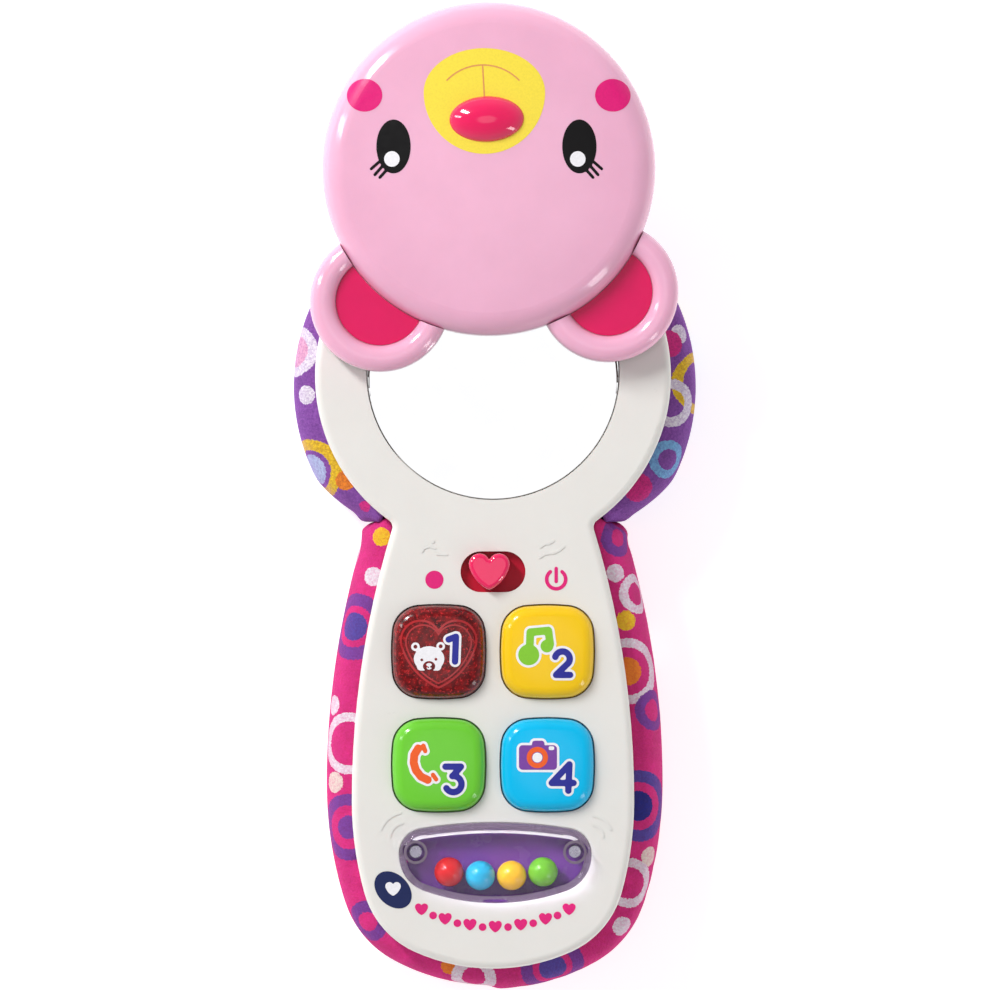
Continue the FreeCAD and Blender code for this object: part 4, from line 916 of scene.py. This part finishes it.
def window_prints(material):
    """Painted shade round the window's two screws and along the ledge above it."""
    top = Surface("bead_window")
    low, high = [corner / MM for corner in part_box("window_screws")]
    head = (high.y - low.y) / 2
    y = low.y + head
    # painted shade: greyish rings where the screw bosses show through the clear top
    for side, x in (("left", low.x + head), ("right", high.x - head)):
        lay_print(f"boss_edge_{side}", ring(disc(x, y, 2.3), 0.3), *box_about(x, y, 4), top, "phone",
                  material, "tray_purple", lift=0.04, step=0.2)
    window = middle("bead_window")
    # painted shade along the ledge, on the white front under the window's rim
    arc_y, arc_reach, half_width = -173.3, 100.15, 0.85
    ledge_y, ledge_half, margin = -76.0, 15.2, 4.0
    arc = ring(disc(window.x, arc_y, arc_reach), half_width)
    ledge = within(arc, slab(window.x, ledge_y, ledge_half, margin, 0.5))
    lay_print("window_shade", ledge, (window.x - 16, ledge_y), (window.x + 16, ledge_y + margin),
              Surface("front_plate"), "phone", material, "tray_purple", lift=0.04, step=0.3)


def embossed_marks(material):
    """Faint raised marks in the white front, beside the heart switch and the bead window."""
    thin, bold = 0.24, 0.26
    curl = join(disc(-13.3, -10.3, 0.4), line([(-12.4, -13.0), (-10.2, -13.1)], thin),
                line([(-15.7, -12.5), (-15.2, -11.7), (-14.0, -11.3), (-12.8, -11.7)], thin))
    wave = join(line([(10.4, -11.5), (11.3, -10.8), (12.3, -10.7), (13.3, -10.1)], thin),
                line([(10.2, -13.8), (11.4, -13.0), (13.6, -12.7), (14.7, -12.1), (15.6, -11.3)], thin))
    arcs = join(bow(-19.4, -75.5, 5.6, 100, 160, bold), bow(-19.4, -75.5, 3.3, 100, 175, bold))
    rings = join(bow(21.6, -75.2, 4.6, 20, 85, bold), bow(21.6, -75.2, 2.6, 0, 80, bold))
    marks = [("curl", curl, -13.0, -11.8), ("wave", wave, 13.0, -12.0), ("arcs", arcs, -22.0, -73.0),
             ("rings", rings, 24.0, -73.0)]
    top = Surface("front_plate")
    for name, field, x, y in marks:
        lay_print(f"embossed_{name}", field, *box_about(x, y, 5), top, "phone", material, "front_white",
                  lift=0.16, step=0.15)


# ---------------------------------------------------------------- small pieces

def rubber_domes(material):
    """Hollow rubber springs under the buttons, turned in place of the CAD domes."""
    foot_edge, hole, skin = 0.35, 1.0, 0.6
    for number in range(1, 5):
        node = f"rubber_dome_{number}"
        low, high = [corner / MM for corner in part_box(node)]
        centre = (low + high) / 2
        foot = (high.x - low.x) / 2
        height = high.z - low.z
        outside = [(foot, low.z), (foot, low.z + foot_edge), (foot - 0.7, low.z + 0.5),
                   (foot - 1.3, low.z + 0.75 * height), (foot - 1.5, high.z)]
        inside = [(hole, high.z), (hole, high.z - skin), (foot - 1.9, high.z - skin),
                  (foot - 1.8, low.z + 0.6 * height), (foot - 1.3, low.z)]
        piece = turned(f"dome_{number}", outside + inside, centre.x, centre.y)
        finish_piece(piece, "phone", material, "silicone")
        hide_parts(node)
        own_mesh(piece)


def window_band(material, rise=4.5, thickness=0.12):
    """A sheet of painted shade at the foot of the bead window's wall: the wall's lowest face, rise under the
    top, made thick.
    """
    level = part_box("bead_window")[1].z / MM - rise
    mesh = bmesh.new()
    mesh.from_mesh(NODES["bead_window"].data)
    others = [face for face in mesh.faces
              if face.normal.z > -0.9 or any(abs(v.co.z / MM - level) > 0.02 for v in face.verts)]
    bmesh.ops.delete(mesh, geom=others, context="FACES")
    bmesh.ops.remove_doubles(mesh, verts=mesh.verts, dist=0.001 * MM)
    for item in bmesh.ops.extrude_face_region(mesh, geom=list(mesh.faces))["geom"]:
        if isinstance(item, bmesh.types.BMVert):
            item.co.z += thickness * MM
    finish_piece(mesh_object("window_band", mesh, smooth=False), "phone", material, "tray_purple")


def mirror_gap_shadow(ink_of_line, inset=0.22, half_width=0.2):
    """Thin dark line of painted shadow, laid just inside the mirror's rim for the gap round it."""
    centre = middle("mirror")
    radius = (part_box("mirror")[1].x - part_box("mirror")[0].x) / 2 / MM
    edge = ring(disc(centre.x, centre.y, radius - inset), half_width)
    lay_print("mirror_gap_shadow", edge, *box_about(centre.x, centre.y, radius + 1), Surface("mirror"), "phone",
              ink_of_line, "print_black", lift=0.03, step=0.3)


# ---------------------------------------------------------------- stage

def lay_floor(half=1.5, drop=0.2):
    """Plain pale paper, a little under the phone; half is in metres, drop in millimetres."""
    mesh = bmesh.new()
    corners = [(-half, -half), (half, -half), (half, half), (-half, half)]
    mesh.faces.new([mesh.verts.new((x, y, -drop * MM)) for x, y in corners])
    floor = mesh_object("floor", mesh)
    paint = Paint("floor_paper", Emission_Color=(1, 1, 1, 1), Emission_Strength=0.68)
    tone = paint.mix(paint.levels(paint.noise(60, 3), 0, 1), srgb(212, 212, 212), srgb(220, 220, 220))
    paint.join(Base_Color=tone, Roughness=paint.levels(paint.noise(4, 3), 0.8, 0.95))
    floor.data.materials.append(paint.material)


def room(strength=0.62, blue=1.01):
    """A grey room that is lighter low down, with a bright patch of ceiling for the mirror."""
    levels = [(0.0, 0.95), (0.35, 1.0), (0.75, 0.55), (0.96, 0.42), (0.975, 0.42), (0.985, 1.66)]
    world = bpy.data.worlds.new("room")
    bpy.context.scene.world = world
    world.use_nodes = True
    nodes, links = world.node_tree.nodes, world.node_tree.links
    background = nodes["Background"]
    direction = nodes.new("ShaderNodeTexCoord")
    split = nodes.new("ShaderNodeSeparateXYZ")
    ramp = nodes.new("ShaderNodeValToRGB")
    while len(ramp.color_ramp.elements) < len(levels):
        ramp.color_ramp.elements.new(1.0)
    for element, (height, level) in zip(ramp.color_ramp.elements, levels):
        element.position = height
        element.color = (level, level, blue * level, 1)
    links.new(direction.outputs["Generated"], split.inputs[0])
    links.new(split.outputs["Z"], ramp.inputs["Fac"])
    links.new(ramp.outputs["Color"], background.inputs["Color"])
    background.inputs["Strength"].default_value = strength


def lamp(name, place, width, height, power):
    """A soft area light that points at the phone."""
    data = bpy.data.lights.new(name, "AREA")
    data.shape = "RECTANGLE"
    data.size = width
    data.size_y = height
    data.energy = power
    light = bpy.data.objects.new(name, data)
    light.location = place
    light.rotation_euler = (-Vector(place)).to_track_quat("-Z", "Y").to_euler()
    bpy.context.scene.collection.objects.link(light)


def look_down(view_width=0.2178, view_x=0.00044, sensor=36, lens=400):
    """The camera, straight above, far off; view_width is what it sees across at the front's height."""
    data = bpy.data.cameras.new("camera")
    data.sensor_width = sensor
    data.lens = lens
    data.clip_end = 10
    camera = bpy.data.objects.new("camera", data)
    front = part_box("front_plate")[1].z
    camera.location = (view_x, 0.0, front + lens / sensor * view_width)
    bpy.context.scene.collection.objects.link(camera)
    bpy.context.scene.camera = camera


# ---------------------------------------------------------------- everything together

def make_materials():
    """One material for each slot of the record, other than the inks and fabrics, and three special ones."""
    button = {"roughness": 0.14, "glow": 0.1, "coat": 0.2, "gloss_index": 1.36}
    return {
        "front_white": moulded("front_white", IVORY, 0.34, glow=0.08, speck=0.015, gloss_index=1.36),
        "shell_grey": textured("shell_grey", srgb(226, 224, 226)),
        "mirror": looking_glass("mirror"),
        "cover_pink": moulded("cover_pink", PINK, 0.16, glow=0.15, coat=0.5),
        "magenta": moulded("magenta", MAGENTA, 0.16, glow=0.05, speck=0.05, gloss_index=1.36),
        "magenta_gloss": moulded("magenta_gloss", srgb(238, 18, 92), 0.10, glow=0.05, coat=1.0, speck=0.05),
        # painted shade: the slide plate is the magenta plastic, made darker for the shade down in its slot
        "slide_crimson": moulded("slide_crimson", srgb(190, 10, 48), 0.35, gloss_index=1.33),
        "button_red": see_through_red("button_red"),
        "red_lines": moulded("red_lines", srgb(176, 22, 30), 0.2, coat=0.8, speck=0.2),
        "button_yellow": moulded("button_yellow", srgb(248, 202, 24), **button),
        "button_green": moulded("button_green", srgb(112, 206, 56), **button),
        "button_blue": moulded("button_blue", srgb(0, 190, 240), **button),
        "window_clear": clear("window_clear"),
        "tray_purple": moulded("tray_purple", srgb(120, 58, 156), 0.25, coat=0.2),
        # painted shade: a lilac grey that stands for the shade of the clear wall round the bead window
        "window_band": moulded("window_band", srgb(118, 102, 122), 0.25),
        "bead_red": moulded("bead_red", srgb(214, 8, 14), 0.14, coat=0.6),
        "bead_cyan": moulded("bead_cyan", srgb(30, 184, 216), 0.14, coat=0.6),
        "bead_yellow": moulded("bead_yellow", srgb(250, 196, 30), 0.14, coat=0.6),
        "bead_green": moulded("bead_green", srgb(112, 196, 40), 0.14, coat=0.6),
        "board_green": circuit("board_green"),
        "black_plastic": textured("black_plastic", srgb(36, 36, 38), 0.4, 0.03, 0.45),
        "steel": metal("steel", (0.62, 0.62, 0.64, 1)),
        "silicone": textured("silicone", srgb(206, 204, 200), 0.6, 0.02, 0.6),
        "cell_label": cell_sleeve("cell_label"),
        "lamp": moulded("lamp", srgb(236, 120, 100), 0.2, glow=0.3),
    }


def make_inks():
    """The printed colours, all with a light gloss but the black, which is plain."""
    colours = {
        "print_white": srgb(242, 240, 244),
        "print_navy": srgb(42, 46, 150),
        "badge_navy": srgb(14, 30, 84),
        "print_yellow": srgb(246, 222, 70),
        "print_green": srgb(132, 200, 50),
        "print_orange": srgb(240, 96, 36),
        # painted shadow: the dark line round the mirror
        "gap_shadow_ink": srgb(70, 44, 38),
        "mouth": srgb(222, 150, 90),
        "print_purple": srgb(122, 66, 160),
        "print_magenta": srgb(226, 26, 120),
    }
    inks = {name: ink(name, colour) for name, colour in colours.items()}
    inks["print_black"] = ink("print_black", srgb(6, 4, 6), coat=0.0)
    return inks


def paint_nodes(materials):
    """Give every CAD node that stays in view the material of its record slot."""
    for part in frame["record"]["subparts"]:
        if part["material_slot"] in materials:
            slots = NODES[part["node"]].data.materials
            for index in range(len(slots)):
                slots[index] = materials[part["material_slot"]]
    for node in ("nose", "heart_knob"):
        NODES[node].data.materials[0] = materials["magenta_gloss"]


def dress(name, node, slot, seam, fullness, colour, dark, prints, strewn):
    """One padded cover with its printed velour."""
    piece = padded_cover(name, node, seam, fullness)
    fabric = velour(slot, colour, dark, placed_prints(piece, prints), strewn)
    finish_piece(piece, "phone", fabric, slot)
    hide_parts(node)


bpy.context.scene.view_settings.view_transform = "Standard"
bpy.context.scene.view_settings.look = "None"
materials = make_materials()
inks = make_inks()
lay_floor()
room()
lamp("key", (-0.75, 0.80, 0.95), 0.16, 0.60, 14.0)
lamp("strip", (-0.95, 0.38, 0.70), 0.12, 0.60, 2.6)
lamp("rim", (0.7, -0.6, 0.5), 0.15, 0.6, 1.6)
look_down()
paint_nodes(materials)
dress("velour_head", "head_cover", "fabric_purple", seam=(5.0, 10.0), fullness=(-0.5, 0.3), colour=PURPLE,
      dark=srgb(190, 160, 205), prints=HEAD_PRINTS, strewn=[WHITE, YELLOW, HOT_PINK, SKY, LAVENDER])
dress("velour_handle", "handle_cover", "fabric_pink", seam=(4.6, 6.0), fullness=(0.2, 1.0), colour=HOT_PINK,
      dark=srgb(240, 178, 208), prints=HANDLE_PRINTS, strewn=[WHITE, PURPLE, YELLOW, CREAM, NAVY])
rubber_domes(materials["silicone"])
face_prints(inks)
button_prints(inks)
button_heart(materials)
plate_prints(inks)
window_prints(materials["window_band"])
embossed_marks(materials["front_white"])
mirror_gap_shadow(inks["gap_shadow_ink"])
window_band(materials["window_band"])
